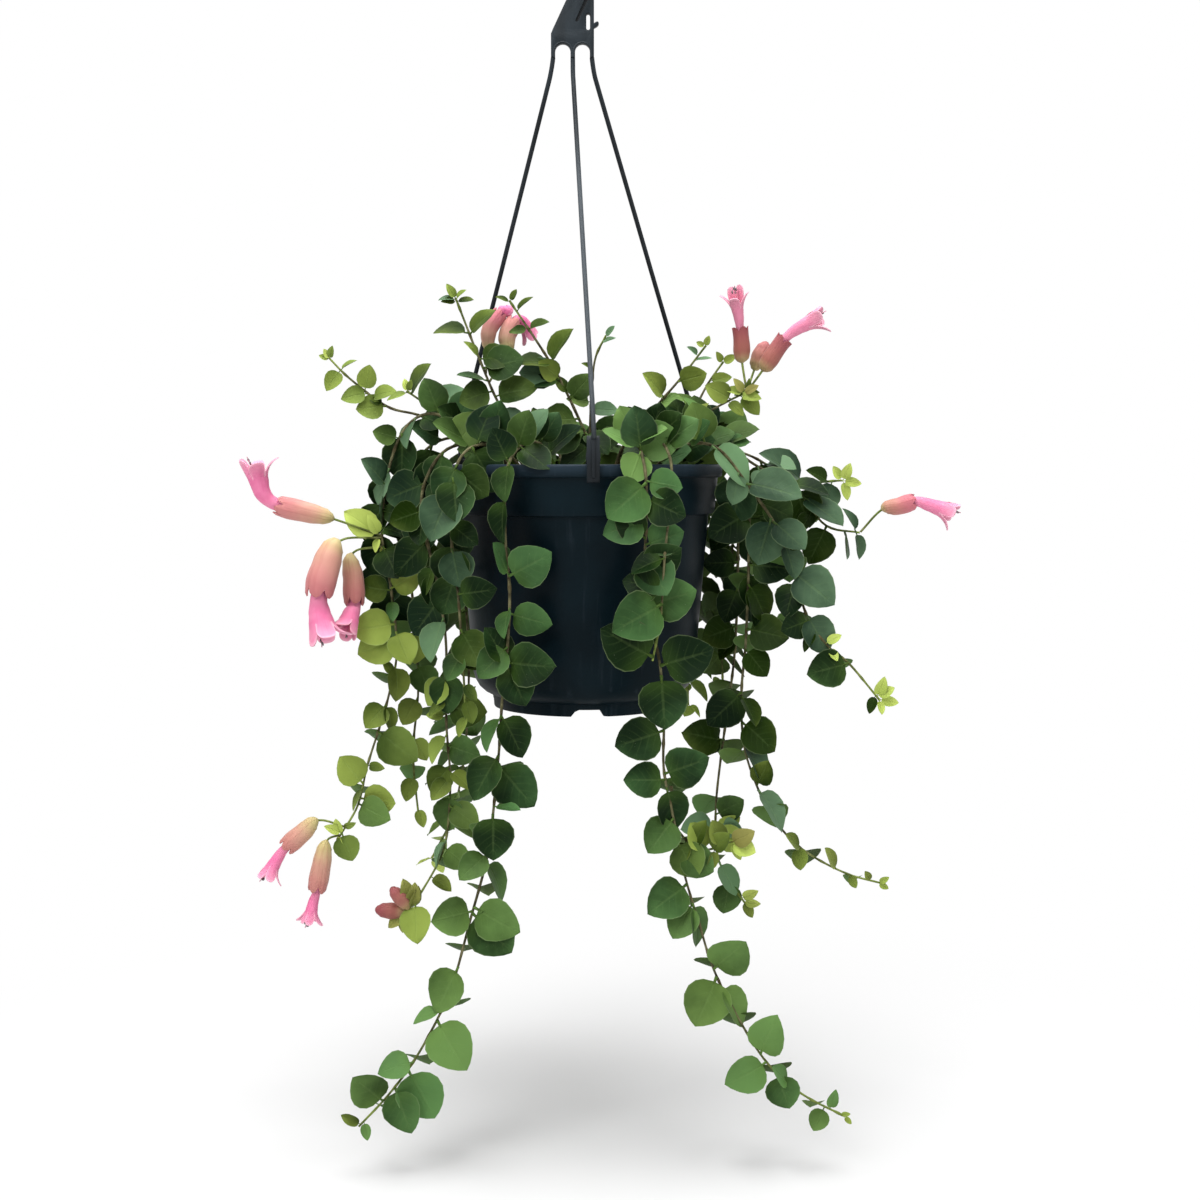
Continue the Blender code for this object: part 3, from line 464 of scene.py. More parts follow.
class Value:
    """An output socket. Python's arithmetic on it adds one Math node for each operation."""

    def __init__(self, graph, socket):
        self.graph, self.socket = graph, socket

    def maths(self, operation, *terms):
        inputs = dict(enumerate(terms))
        return self.graph.add("ShaderNodeMath", {"operation": operation}, inputs)

    def __add__(self, other):
        return self.maths("ADD", self, other)

    def __sub__(self, other):
        return self.maths("SUBTRACT", self, other)

    def __rsub__(self, other):
        return self.maths("SUBTRACT", other, self)

    def __mul__(self, other):
        return self.maths("MULTIPLY", self, other)

    def __truediv__(self, other):
        return self.maths("DIVIDE", self, other)

    def root(self):
        return self.maths("SQRT", self)

    def __abs__(self):
        return self.maths("ABSOLUTE", self)

    __radd__ = __add__
    __rmul__ = __mul__

    def top(self, other):
        return self.maths("MAXIMUM", self, other)

    def sine(self):
        return self.maths("SINE", self)

    def fraction(self):
        return self.maths("FRACT", self)

    def between(self, low, high):
        """0 below low and 1 above high, smooth in between."""
        settings = {"interpolation_type": "SMOOTHSTEP"}
        return self.graph.add("ShaderNodeMapRange", settings, {0: self, 1: low, 2: high})

    def side(self, name):
        """Another output of the same node."""
        return Value(self.graph, self.socket.node.outputs[name])


class Graph:
    """A node tree that is filled through one method."""

    def __init__(self, tree):
        self.tree = tree
        tree.nodes.clear()

    def add(self, kind, settings=None, inputs=None):
        """A new node with its settings and inputs; its first usable output is handed back."""
        node = self.tree.nodes.new(kind)
        for key, value in (settings or {}).items():
            setattr(node, key, value)
        for key, value in (inputs or {}).items():
            self.feed(node.inputs[key], value)
        usable = [socket for socket in node.outputs if socket.enabled]
        return Value(self, usable[0]) if usable else node

    def feed(self, socket, value):
        if isinstance(value, Value):
            self.tree.links.new(value.socket, socket)
        elif isinstance(value, tuple) and socket.type == "RGBA":
            socket.default_value = (*value, 1.0)
        else:
            socket.default_value = value

    def mix(self, factor, first, second):
        """A colour between two others."""
        settings = {"data_type": "RGBA", "clamp_factor": True}
        return self.add("ShaderNodeMix", settings, {0: factor, 6: first, 7: second})

    def parts(self, vector):
        """The three parts of a vector."""
        x = self.add("ShaderNodeSeparateXYZ", None, {0: vector})
        return x, x.side("Y"), x.side("Z")

    def join(self, x, y, z):
        return self.add("ShaderNodeCombineXYZ", None, {0: x, 1: y, 2: z})

    def noise(self, where, scale, detail=3.0):
        inputs = {"Vector": where, "Scale": scale, "Detail": detail, "Roughness": 0.55}
        return self.add("ShaderNodeTexNoise", None, inputs)

    def cells(self, where, scale):
        return self.add("ShaderNodeTexVoronoi", {"feature": "F1"}, {"Vector": where, "Scale": scale})

    def place(self):
        return self.add("ShaderNodeTexCoord").side("Object")

    def unwrapped(self):
        """Along and across, from the piece's own UV map."""
        u, v, _ = self.parts(self.add("ShaderNodeUVMap", {"uv_map": "UVMap"}))
        return u, v

    def trait(self, name):
        """A number kept on the mesh."""
        return self.add("ShaderNodeAttribute", {"attribute_name": name}).side("Fac")

    def bump(self, height, distance):
        return self.add("ShaderNodeBump", None, {"Height": height, "Distance": distance, "Strength": 1.0})

    def surface(self, **inputs):
        """The shader and the output, with inputs named as on the shader, spaces as underscores."""
        named = {key.replace("_", " "): value for key, value in inputs.items()}
        shader = self.add("ShaderNodeBsdfPrincipled", None, named)
        self.add("ShaderNodeOutputMaterial", None, {"Surface": shader})


def seen_directly(g):
    """1 for what the camera, a reflection or a clear surface looks at, and 0 for soft light."""
    rays = g.add("ShaderNodeLightPath")
    return rays.top(rays.side("Is Glossy Ray")).top(rays.side("Is Transmission Ray"))


def material(name, paint):
    """A material whose graph is filled by one of the functions below."""
    made = bpy.data.materials.new(name)
    made.use_nodes = True
    paint(Graph(made.node_tree))
    return made


# ---- materials ----

def paint_pot(g):
    """Satin black moulded plastic: fine grain, water marks that run down, scuffs on the rim."""
    where = g.place()
    x, y, z = g.parts(where)
    grain = g.noise(where, 900.0, 2.0)
    cloud = g.noise(where, 14.0, 4.0)
    runs = g.noise(g.join(x * 260.0, y * 260.0, z * 9.0), 1.0, 3.0)
    marks = runs.between(0.56, 0.74) * cloud.between(0.4, 0.62)
    scuffs = g.noise(g.join(x * 120.0, y * 120.0, z * 900.0), 1.0, 2.0).between(0.62, 0.7)
    high = z.between(-0.303, -0.296)
    dust = marks * 0.35 + scuffs * high * 0.5
    body = g.mix(cloud.between(0.3, 0.7), colour("050f14"), colour("0a191f"))
    body = g.mix(high * 0.5, g.mix(dust, body, colour("2c343c")), colour("2b3742"))
    g.surface(
        Base_Color=body,
        Roughness=0.34 + cloud * 0.14 + dust * 0.3,
        Normal=g.bump(grain * 0.4 + runs * 0.25 + scuffs * high * 0.5, 0.00012),
        Specular_IOR_Level=0.06,
    )


def paint_hanger(g):
    """Slate-coloured moulded plastic with flow lines and dulled patches, painted lighter on the front leg,
    and with painted shade on the other legs, in the groove and along the head's edges.
    """
    where = g.place()
    x, y, z = g.parts(where)
    grain = g.noise(where, 1300.0, 2.0)
    flow = g.noise(g.join(x * 90.0, y * 90.0, z * 22.0), 1.0, 3.0)
    wear = g.noise(where, 220.0, 3.0).between(0.6, 0.72)
    # painted light: the front leg is drawn a lighter grey than the rest of the hanger
    front = (y * -1.0).between(0.008, 0.03) * z.between(-0.302, -0.25)
    body = g.mix(flow.between(0.3, 0.7), colour("171d21"), colour("22292e"))
    body = g.mix(front * 0.6, body, colour("50565b"))
    # painted shade: a dark line in the groove's floor and along the edges of the head's upper part and the
    # crook
    sunk = y.between(-0.0016, -0.0013) * (1.0 - y.between(-0.0007, -0.0002)) * z.between(-0.07, -0.066)
    body = g.mix(sunk * 0.8, body, colour("050607"))
    # painted shade: the legs and clips, but for the front leg, are drawn darker
    body = g.mix((1.0 - z.between(-0.12, -0.08)) * (1.0 - front) * 0.5, body, colour("0e1012"))
    g.surface(
        Base_Color=g.mix(wear * 0.14, body, colour("474d53")),
        Roughness=0.38 + flow * 0.12 + wear * 0.2,
        Normal=g.bump(grain * 0.3 + flow * 0.4, 0.00006),
        Specular_IOR_Level=0.14,
    )


def paint_mix(g):
    """Damp peat with darker and drier patches."""
    where = g.place()
    tone = g.trait("tone")
    crumbs = g.cells(where, 420.0)
    patch = g.noise(where, 60.0, 4.0)
    body = g.mix(patch.between(0.35, 0.65), colour("1f1510"), colour("46331f"))
    body = g.mix(tone.between(0.3, 0.9), body, colour("6b5236"))
    body = g.mix(tone.between(0.955, 0.965), body, colour("d8d4c8"))
    g.surface(
        Base_Color=body,
        Roughness=0.9 + patch * 0.08,
        Normal=g.bump(crumbs * 0.8 + patch, 0.0012),
        Specular_IOR_Level=0.2,
    )


def paint_leaf(g):
    """A smooth waxy blade with a faint midrib and a pale rim, painted lighter to its tip and on one half; hue
    runs from grey-green to olive.
    """
    where = g.place()
    u, v = g.unwrapped()
    tone, hue, age, under = g.trait("tone"), g.trait("hue"), g.trait("age"), g.trait("under")
    off = abs(v - 0.5) * 2.0
    cloud = g.noise(where, 70.0, 3.0)
    fleck = g.noise(where, 1100.0, 2.0).between(0.7, 0.76)
    rib = (1.0 - off.between(0.02, 0.09)) * (1.0 - u.between(0.6, 1.0))
    side_rib = ((u * 36.0 - off * 12.0).sine() * 0.5 + 0.5).between(0.85, 1.0) * (1.0 - off)
    rim = off.between(0.93, 1.0)
    # painted light: each blade is drawn darker at its base, lighter towards its tip and lighter on one half
    painted_light_slope = (u - 0.5) * 0.22 + (v - 0.5) * 0.26
    shade = (tone * 0.9 + (cloud - 0.5) * 0.5 + painted_light_slope).between(-0.05, 1.0)
    green = g.mix(shade, colour("0a1c08"), colour("4f7744"))
    green = g.mix((1.0 - u.between(0.0, 0.45)) * 0.16, green, colour("5f8234"))
    frosted = g.mix(shade, colour("13271a"), colour("627f5f"))
    olive = g.mix(shade, colour("1c2f05"), colour("7f9140"))
    body = g.mix(hue * -1.0, g.mix(hue, green, olive), frosted)
    body = g.mix(rib * 0.07, body, colour("7d985a"))
    body = g.mix(side_rib * 0.04, body, colour("7d9a5a"))
    body = g.mix(fleck * 0.12, body, colour("98a88a"))
    below = g.mix(0.3, body, colour("566c2c"))
    body = g.mix(under, body, below)
    fresh = g.mix(shade, colour("7d9436"), colour("b7c766"))
    body = g.mix(age, body, fresh)
    body = g.mix(hue - 1.15, body, g.mix(shade, colour("6d6a35"), colour("9c9658")))
    body = g.mix(rim * 0.24, body, colour("8fa274"))
    relief = cloud * 0.6 - rib * 0.25 - side_rib * 0.06 + fleck * 0.1
    g.surface(
        Base_Color=body,
        Roughness=0.4 + under * 0.15 + cloud * 0.14,
        Normal=g.bump(relief, 0.0006),
        Specular_IOR_Level=0.06,
    )


def paint_stem(g):
    """Olive-brown bark that turns green towards the tip, cracked and ringed at the nodes."""
    where = g.place()
    age, ring = g.trait("age"), g.trait("ring")
    cloud = g.noise(where, 160.0, 4.0)
    cracks = g.noise(where, 900.0, 3.0)
    bark = g.mix(cloud.between(0.3, 0.7), colour("2c2818"), colour("6d6a4c"))
    bark = g.mix(ring * 0.6, bark, colour("4c4128"))
    green = g.mix(cloud.between(0.3, 0.7), colour("4f5e28"), colour("84934a"))
    g.surface(
        Base_Color=g.mix(age, bark, green),
        Roughness=0.62 + cloud * 0.2,
        Normal=g.bump(cracks + cloud * 0.6, 0.0006),
        Specular_IOR_Level=0.12,
    )


def ringed(g, along, around, radius):
    """A place on a tube, so that a pattern meets itself where the tube closes."""
    turn = around * (2.0 * math.pi)
    return g.join(turn.sine() * radius, (turn + math.pi / 2).sine() * radius, along)


def paint_calyx(g):
    """A smooth downy tube: olive at its foot, salmon to dusky rose above, faintly lined with ridges that
    carry painted shade.
    """
    where = g.place()
    along, around = g.unwrapped()
    rosy, pink = g.trait("rosy"), g.trait("pink")
    cloud = g.noise(where, 110.0, 4.0)
    down = g.noise(where, 2200.0, 2.0)
    ridges_and_shade = g.noise(ringed(g, along * 1.3, around, 3.2), 1.0, 2.0).between(0.5, 0.64)
    mouth = along.between(0.35, 0.95)
    body = g.mix(cloud.between(0.25, 0.75) * 0.35 + mouth * 0.65, colour("cda68c"), colour("b97a70"))
    body = g.mix(rosy * 0.92, body, g.mix(mouth, colour("85463f"), colour("7c343c")))
    body = g.mix(pink * along.between(0.15, 0.85) * 0.85, body, colour("bb6675"))
    olive = g.mix(cloud.between(0.3, 0.7), colour("b3ab6c"), colour("cbc48a"))
    olive = g.mix(rosy * 0.7, olive, colour("967a58"))
    body = g.mix((1.0 - along.between(0.0, 0.64 - rosy * 0.25 - pink * 0.36)) * 0.9, body, olive)
    # painted shade: the lengthwise ridge lines are bumped and also drawn darker, as their shade
    body = g.mix(ridges_and_shade * 0.16, body, colour("9c5148"))
    g.surface(
        Base_Color=body,
        Roughness=0.5 + cloud * 0.15,
        Normal=g.bump(down * 0.15 + ridges_and_shade * 0.3, 0.0003),
        Specular_IOR_Level=0.25,
        Sheen_Weight=0.14,
        Sheen_Roughness=0.4,
    )


def paint_petal(g):
    """Pink petals: deeper down the tube, paler in the lobes with fine streaks along them."""
    where = g.place()
    along, around = g.unwrapped()
    rim, rosy = g.trait("rim"), g.trait("rosy")
    cloud = g.noise(where, 120.0, 4.0)
    down = g.noise(where, 2400.0, 2.0)
    streaks = g.noise(ringed(g, along * 2.5, around, 7.0), 1.0, 3.0)
    body = g.mix(cloud.between(0.3, 0.7), colour("cf5c8e"), colour("da78a0"))
    body = g.mix(along.between(0.5, 0.85) * 0.6, body, colour("e093af"))
    body = g.mix(rosy * 0.5, body, colour("cf8f9b"))
    body = g.mix(streaks.between(0.5, 0.7) * 0.32, body, colour("cd5d8b"))
    body = g.mix((1.0 - along.between(0.12, 0.4)) * 0.4, body, colour("d88ca1"))
    body = g.mix(rim.between(0.7, 1.0) * 0.55, body, colour("e8b7c5"))
    g.surface(
        Base_Color=body,
        Roughness=0.46 + cloud * 0.12,
        Normal=g.bump(down * 0.05 + streaks * 0.3, 0.0003),
        Specular_IOR_Level=0.15,
        Sheen_Weight=0.1,
        Sheen_Roughness=0.4,
    )


def paint_stamen(g):
    """Pale pink threads with dark heads."""
    where = g.place()
    head = g.trait("age")
    cloud = g.noise(where, 900.0, 3.0)
    thread = g.mix(cloud, colour("e9b3c0"), colour("d77f9c"))
    g.surface(
        Base_Color=g.mix(head, thread, g.mix(cloud, colour("4a4346"), colour("7d7478"))),
        Roughness=0.5 + cloud * 0.2,
        Normal=g.bump(cloud, 0.0002),
    )


def paint_floor(g):
    """Pale paper near the plant, which turns to plain white further out, with painted light: a white glow,
    seen directly, that grows away from the plant and fades its shadow out.
    """
    x, y, _ = g.parts(g.place())
    spread = g.noise(g.place(), 3.0)
    far = (x * x + y * y).root().between(0.05, 0.45)
    seen = seen_directly(g)
    shade = g.mix(spread, colour("d2d2d2"), colour("d5d5d5"))
    paper = g.add(
        "ShaderNodeBsdfPrincipled",
        None,
        {"Base Color": g.mix(seen, colour("e5e5e5"), shade), "Roughness": 0.95, "Specular IOR Level": 0.0},
    )
    white = g.add("ShaderNodeEmission", None, {"Color": (1.0, 1.0, 1.0), "Strength": 1.0})
    # painted light: the directly seen white glow is weak under the plant and grows outward, fading its shadow
    shader = g.add("ShaderNodeMixShader", None, {0: seen * (far * 0.9 + 0.1), 1: paper, 2: white})
    g.add("ShaderNodeOutputMaterial", None, {"Surface": shader})


# ---- shapes ----

def smooth(points, spacing):
    """Points evenly spread along a smooth curve through the given ones."""
    knots = [Vector(point) for point in points]
    ends = [knots[0] * 2 - knots[1]] + knots + [knots[-1] * 2 - knots[-2]]
    dense = [knots[0]]
    for before, start, stop, after in zip(ends, ends[1:], ends[2:], ends[3:]):
        for step in range(1, 17):
            t = step / 16
            dense.append(
                0.5 * (2 * start + (stop - before) * t + (2 * before - 5 * start + 4 * stop - after) * t**2
                       + (3 * start - before - 3 * stop + after) * t**3)
            )
    lengths = [0.0]
    for start, stop in zip(dense, dense[1:]):
        lengths.append(lengths[-1] + (stop - start).length)
    count = max(3, round(lengths[-1] / spacing))
    spread, index = [], 0
    for step in range(count + 1):
        target = lengths[-1] * step / count
        while index < len(dense) - 2 and lengths[index + 1] < target:
            index += 1
        span = lengths[index + 1] - lengths[index]
        spread.append(dense[index].lerp(dense[index + 1], (target - lengths[index]) / span))
    return spread


def linked(name, data):
    """A new object in the scene."""
    obj = bpy.data.objects.new(name, data)
    bpy.context.scene.collection.objects.link(obj)
    return obj


def mesh_from(name, rows, faces):
    mesh = bpy.data.meshes.new(name)
    mesh.from_pydata(rows, [], faces)
    return mesh


def uncaged(name, cage):
    """The mesh that was built in a cage, which is freed."""
    mesh = bpy.data.meshes.new(name)
    cage.to_mesh(mesh)
    cage.free()
    return mesh


def discard(collection):
    """Removes a collection with its objects."""
    for obj in list(collection.objects):
        bpy.data.objects.remove(obj, do_unlink=True)
    bpy.data.collections.remove(collection)


def ring_faces(rows, sides, closed=False):
    """Faces between rings of points, and from the last ring to the first where the loop closes."""
    rings = len(rows) // sides
    faces = []
    for low in range(rings if closed else rings - 1):
        high = (low + 1) % rings
        for side in range(sides):
            after = (side + 1) % sides
            corners = ((low, side), (low, after), (high, after), (high, side))
            faces.append(tuple(ring * sides + spot for ring, spot in corners))
    return faces


def ball(name, sides=10, rings=6):
    """A ball of radius 1; its points at each pole merge when it is finished."""
    rows = []
    for ring in range(rings + 1):
        tilt = math.pi * ring / rings
        for side in range(sides):
            turn = 2 * math.pi * side / sides
            rows.append((math.sin(tilt) * math.sin(turn), math.sin(tilt) * math.cos(turn), math.cos(tilt)))
    return mesh_from(name, rows, ring_faces(rows, sides))


def finished(name, mesh, finish, crease=40.0):
    """An object with faces outward, smooth but for its sharp edges, and one material."""
    cage = bmesh.new()
    cage.from_mesh(mesh)
    bmesh.ops.remove_doubles(cage, verts=cage.verts, dist=1e-6)
    bmesh.ops.recalc_face_normals(cage, faces=cage.faces)
    if cage.calc_volume(signed=True) < 0.0:
        bmesh.ops.reverse_faces(cage, faces=cage.faces)
    for face in cage.faces:
        face.smooth = True
    cage.to_mesh(mesh)
    cage.free()
    mesh.set_sharp_from_angle(angle=math.radians(crease))
    mesh.materials.clear()
    mesh.materials.append(finish)
    return linked(name, mesh)


def evaluated(obj):
    """The plain mesh that an object's modifiers give; the object itself goes."""
    bpy.context.view_layer.update()
    depsgraph = bpy.context.evaluated_depsgraph_get()
    mesh = bpy.data.meshes.new_from_object(obj.evaluated_get(depsgraph), depsgraph=depsgraph)
    mesh.transform(obj.matrix_world)
    bpy.data.objects.remove(obj, do_unlink=True)
    return mesh


def merged(name, meshes):
    """Several meshes as one."""
    cage = bmesh.new()
    for mesh in meshes:
        cage.from_mesh(mesh)
    return uncaged(name, cage)


def shown(obj, slot, *nodes):
    """The piece rides on the body and stands for its CAD nodes."""
    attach(obj, "root")
    if nodes:
        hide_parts(*nodes)


def arc(centre_x, centre_y, radius, start, stop, count):
    """Points on an arc, both ends included, from one angle to another in degrees."""
    for step in range(count + 1):
        angle = math.radians(start + (stop - start) * step / count)
        yield (centre_x + radius * math.cos(angle), centre_y + radius * math.sin(angle))


def circle(radius, count=24):
    """The outline of a round thing."""
    return list(arc(0.0, 0.0, radius, 0.0, 360.0 - 360.0 / count, count - 1))


def moulded(name, outlines, half_thickness, edge, place):
    """A flat piece from its outline and holes (mm), with rounded edges, moved to its place."""
    curve = bpy.data.curves.new(name, "CURVE")
    curve.dimensions = "2D"
    curve.fill_mode = "BOTH"
    curve.bevel_depth = edge * MM
    curve.bevel_resolution = 2
    curve.offset = -edge * MM
    curve.extrude = (half_thickness - edge) * MM
    for outline in outlines:
        spline = curve.splines.new("POLY")
        spline.points.add(len(outline) - 1)
        for point, (x, y) in zip(spline.points, outline):
            point.co = (x * MM, y * MM, 0.0, 1.0)
        spline.use_cyclic_u = True
    mesh = evaluated(linked(name, curve))
    mesh.transform(place)
    return mesh


# ---- growth: geometry node trees ----

def geometry_graph(name, **inputs):
    """A geometry tree and its first node; inputs named as on the tree, spaces as underscores."""
    tree = bpy.data.node_groups.new(name, "GeometryNodeTree")
    graph = Graph(tree)
    tree.interface.new_socket("Geometry", in_out="INPUT", socket_type="NodeSocketGeometry")
    for label, kind in inputs.items():
        tree.interface.new_socket(label.replace("_", " "), in_out="INPUT", socket_type="NodeSocket" + kind)
    tree.interface.new_socket("Geometry", in_out="OUTPUT", socket_type="NodeSocketGeometry")
    return graph, graph.add("NodeGroupInput")


def ended(g, given, geometry):
    """The tree, ending in its material and its output."""
    done = g.add("GeometryNodeSetMaterial", None, {"Geometry": geometry, "Material": given.side("Material")})
    g.add("NodeGroupOutput", None, {0: done})
    return g.tree


def stored(g, geometry, name, value, domain="POINT"):
    """The geometry with a number kept on it under a name."""
    settings = {"data_type": "FLOAT", "domain": domain}
    inputs = {"Geometry": geometry, "Name": name, "Value": value}
    return g.add("GeometryNodeStoreNamedAttribute", settings, inputs)


def stem_tree():
    """A stem along a curve: slimmer at the tip, swollen where leaves grow, green when young."""
    g, given = geometry_graph(
        "stem_growth", Radius="Float", Taper="Float", Node_spacing="Float", Swelling="Float",
        Young_part="Float", Sides="Int", Step="Float", Material="Material",
    )
    line = g.add(
        "GeometryNodeResampleCurve",
        {"mode": "LENGTH"},
        {"Curve": given, "Length": given.side("Step")},
    )
    share = g.add("GeometryNodeSplineParameter")
    length = share.side("Length")
    beat = abs((length / given.side("Node spacing")).fraction() - 0.5)
    ring = beat.between(0.36, 0.5)
    wobble = g.noise(g.add("GeometryNodeInputPosition"), 120.0, 2.0) - 0.5
    radius = given.side("Radius") * (
        1.0 + ring * given.side("Swelling") + wobble * given.side("Swelling") - share * given.side("Taper")
    )
    age = share.between(1.0 - given.side("Young part"), 1.0)
    line = stored(g, line, "ring", ring)
    line = stored(g, line, "age", age)
    section = {"Resolution": given.side("Sides"), "Radius": 1.0}
    profile = g.add("GeometryNodeCurvePrimitiveCircle", None, section)
    swept = g.add(
        "GeometryNodeCurveToMesh",
        None,
        {"Curve": line, "Profile Curve": profile, "Scale": radius, "Fill Caps": True},
    )
    return ended(g, given, swept)


def leaf_tree():
    """Leaves on points: each point says which blade grows there, how it is turned and its size."""
    g, given = geometry_graph("leaf_growth", Blades="Collection", Material="Material")
    blades = g.add(
        "GeometryNodeCollectionInfo",
        None,
        {"Collection": given.side("Blades"), "Separate Children": True, "Reset Children": True},
    )
    turn, size, kind = (
        g.add("GeometryNodeInputNamedAttribute", {"data_type": data_type}, {"Name": name})
        for name, data_type in (("turn", "FLOAT_VECTOR"), ("size", "FLOAT_VECTOR"), ("kind", "INT"))
    )
    placed = g.add(
        "GeometryNodeInstanceOnPoints",
        None,
        {
            "Points": given,
            "Instance": blades,
            "Pick Instance": True,
            "Instance Index": kind,
            "Rotation": turn,
            "Scale": size,
        },
    )
    return ended(g, given, g.add("GeometryNodeRealizeInstances", None, {"Geometry": placed}))


def crumb_tree():
    """Loose crumbs scattered over a surface, each turned and sized at random."""
    g, given = geometry_graph(
        "crumb_scatter", Crumb="Object", Density="Float", Smallest="Float", Largest="Float",
        Seed="Int", Material="Material",
    )

    def drawn(kind, step, limits):
        seed = given.side("Seed") + step if step else given.side("Seed")
        return g.add("FunctionNodeRandomValue", {"data_type": kind}, {**limits, "Seed": seed})

    points = g.add(
        "GeometryNodeDistributePointsOnFaces",
        {"distribute_method": "RANDOM"},
        {"Mesh": given, "Density": given.side("Density"), "Seed": given.side("Seed")},
    )
    crumb = g.add("GeometryNodeObjectInfo", None, {"Object": given.side("Crumb")}).side("Geometry")
    turn = drawn("FLOAT_VECTOR", 0.0, {0: (0.0, 0.0, 0.0), 1: (6.28, 6.28, 6.28)})
    shape = drawn("FLOAT_VECTOR", 1.0, {0: (0.6, 0.35, 0.3), 1: (1.3, 1.0, 0.8)})
    span = drawn("FLOAT", 2.0, {2: given.side("Smallest"), 3: given.side("Largest")})
    size = g.add("ShaderNodeVectorMath", {"operation": "SCALE"}, {0: shape, 3: span})
    placed = g.add(
        "GeometryNodeInstanceOnPoints",
        None,
        {"Points": points, "Instance": crumb, "Rotation": turn, "Scale": size},
    )
    tone = drawn("FLOAT", 3.0, {})
    placed = stored(g, placed, "tone", tone, "INSTANCE")
    return ended(g, given, g.add("GeometryNodeRealizeInstances", None, {"Geometry": placed}))


def grown(obj, tree, **inputs):
    """The mesh that a geometry tree makes of an object, with inputs named as in geometry_graph."""
    modifier = obj.modifiers.new("growth", "NODES")
    modifier.node_group = tree
    named = {item.name: item.identifier for item in tree.interface.items_tree if item.in_out == "INPUT"}
    for key, value in inputs.items():
        modifier[named[key.replace("_", " ")]] = value
    return evaluated(obj)


def line_object(name, routes):
    """A curve object with one polyline through each list of places in metres."""
    curve = bpy.data.curves.new(name, "CURVE")
    curve.dimensions = "3D"
    for route in routes:
        spline = curve.splines.new("POLY")
        spline.points.add(len(route) - 1)
        for point, place in zip(spline.points, route):
            point.co = (*place, 1.0)
    return linked(name, curve)


def tubes(name, routes, tree, finish, radius, taper=0.0, swelling=0.0, young=0.001, sides=7, step=3.0):
    """Round bars along routes in millimetres."""
    obj = line_object(name, [[world(p) for p in smooth(route, 2.0)] for route in routes])
    return grown(
        obj,
        tree,
        Radius=radius * MM,
        Taper=taper,
        Node_spacing=NODE_SPACING * MM,
        Swelling=swelling,
        Young_part=young,
        Sides=sides,
        Step=step * MM,
        Material=finish,
    )


# ---- pot ----

def pot_profile():
    """Inner floor to rim, then down the outer wall to the underside's centre."""
    inner = [
        (0.0, -122.4), (20.0, -122.4), (40.0, -122.4), (49.6, -122.4), (53.6, -121.0), (56.4, -118.0),
        (58.6, -112.4), (61.2, -80.0), (63.8, -50.0), (65.6, -27.2), (69.0, -25.4), (69.7, -16.0),
        (70.4, -6.5), (71.2, -1.4), (71.6, -0.5), (72.3, -0.05),
    ]
    rim = [
        (73.6, 0.0), (74.4, -0.2), (74.85, -0.7), (RIM_R, -1.4), (RIM_R, -3.4), (RIM_R, -5.6),
        (74.8, -6.2), (74.3, -6.6),
    ]
    wall = [
        (72.9, -6.9), (72.45, -7.5), (72.1, -12.0), (71.4, -19.0), (70.95, -25.2), (70.6, -26.1),
        (68.1, -26.6), (67.6, -27.4), (65.6, -51.0), (63.5, -77.0), (61.3, -103.0), (60.5, -112.4),
        (59.6, -116.0), (57.4, -119.8), (54.6, -122.4), (51.8, -123.9),
    ]
    foot = [
        (50.4, -124.6), (50.1, -127.4), (49.9, -130.4), (49.5, -131.0), (47.7, -131.0), (47.3, -130.5),
        (46.9, -127.4), (46.8, -124.4), (46.3, -124.0), (40.0, FLOOR_Z), (20.0, FLOOR_Z), (0.0, FLOOR_Z),
    ]
    return inner + rim + wall + foot


def build_pot(finish):
    """The moulding, with water notches round its foot, drain holes and a gate mark beneath."""
    steps = 144
    profile = pot_profile()
    rows = []
    for step in range(steps):
        angle = 2 * math.pi * step / steps
        across = (math.degrees(angle) - 270.0 - NOTCH_TURN + 45.0) % (360.0 / NOTCH_COUNT) - 45.0
        offset = abs(math.radians(across)) * FOOT_R
        lift = NOTCH_HEIGHT * min(1.0, max(0.0, (NOTCH_WIDTH / 2 + 1.4 - offset) / 2.0))
        for radius, height in profile:
            low = height < FOOT_BELOW
            rows.append(round_axis(radius, angle, height + lift * low))
    count = len(profile)
    faces = []
    for step in range(steps):
        here, there = step * count, (step + 1) % steps * count
        for index in range(count - 1):
            faces.append((here + index, there + index, there + index + 1, here + index + 1))
    pot = finished("pot_moulding", mesh_from("pot_moulding", rows, faces), finish)
    cutters = bpy.data.collections.new("drain_cutters")
    bpy.context.scene.collection.children.link(cutters)
    for index in range(DRAIN_COUNT):
        angle = math.radians(360.0 * (index + 0.5) / DRAIN_COUNT)
        middle = round_axis(DRAIN_RING_R, angle, FLOOR_Z)
        hole = moulded(f"drain_{index}", [circle(DRAIN_R)], 6.0, 0.01, Matrix.Translation(middle))
        cutters.objects.link(bpy.data.objects.new(f"drain_{index}", hole))
    cut = pot.modifiers.new("drains", "BOOLEAN")
    cut.operand_type = "COLLECTION"
    cut.collection = cutters
    cut.solver = "EXACT"
    mesh = evaluated(pot)
    discard(cutters)
    ribs = []
    for index in range(RIB_COUNT):
        angle = 360.0 * index / RIB_COUNT
        turn = Matrix.Rotation(math.radians(angle), 4, "Z") @ UPRIGHT
        outline = [(8.0, -124.8), (30.0, -124.8), (31.0, -123.6), (7.0, -123.6)]
        ribs.append(moulded("rib", [outline], 0.6, 0.2, AT_RIM @ turn))
    gate, nub = [circle(6.2), circle(4.6)], [circle(1.5, 12)]
    for name, outlines, edge, height in (("gate_ring", gate, 0.3, -124.0), ("gate_nub", nub, 0.4, -124.2)):
        ribs.append(moulded(name, outlines, 0.9, edge, Matrix.Translation(world((0.0, 0.0, height)))))
    piece = finished("pot_moulding", merged("pot_moulding", [mesh] + ribs), finish)
    shown(piece, "pot_plastic", "pot")


# ---- potting mix ----

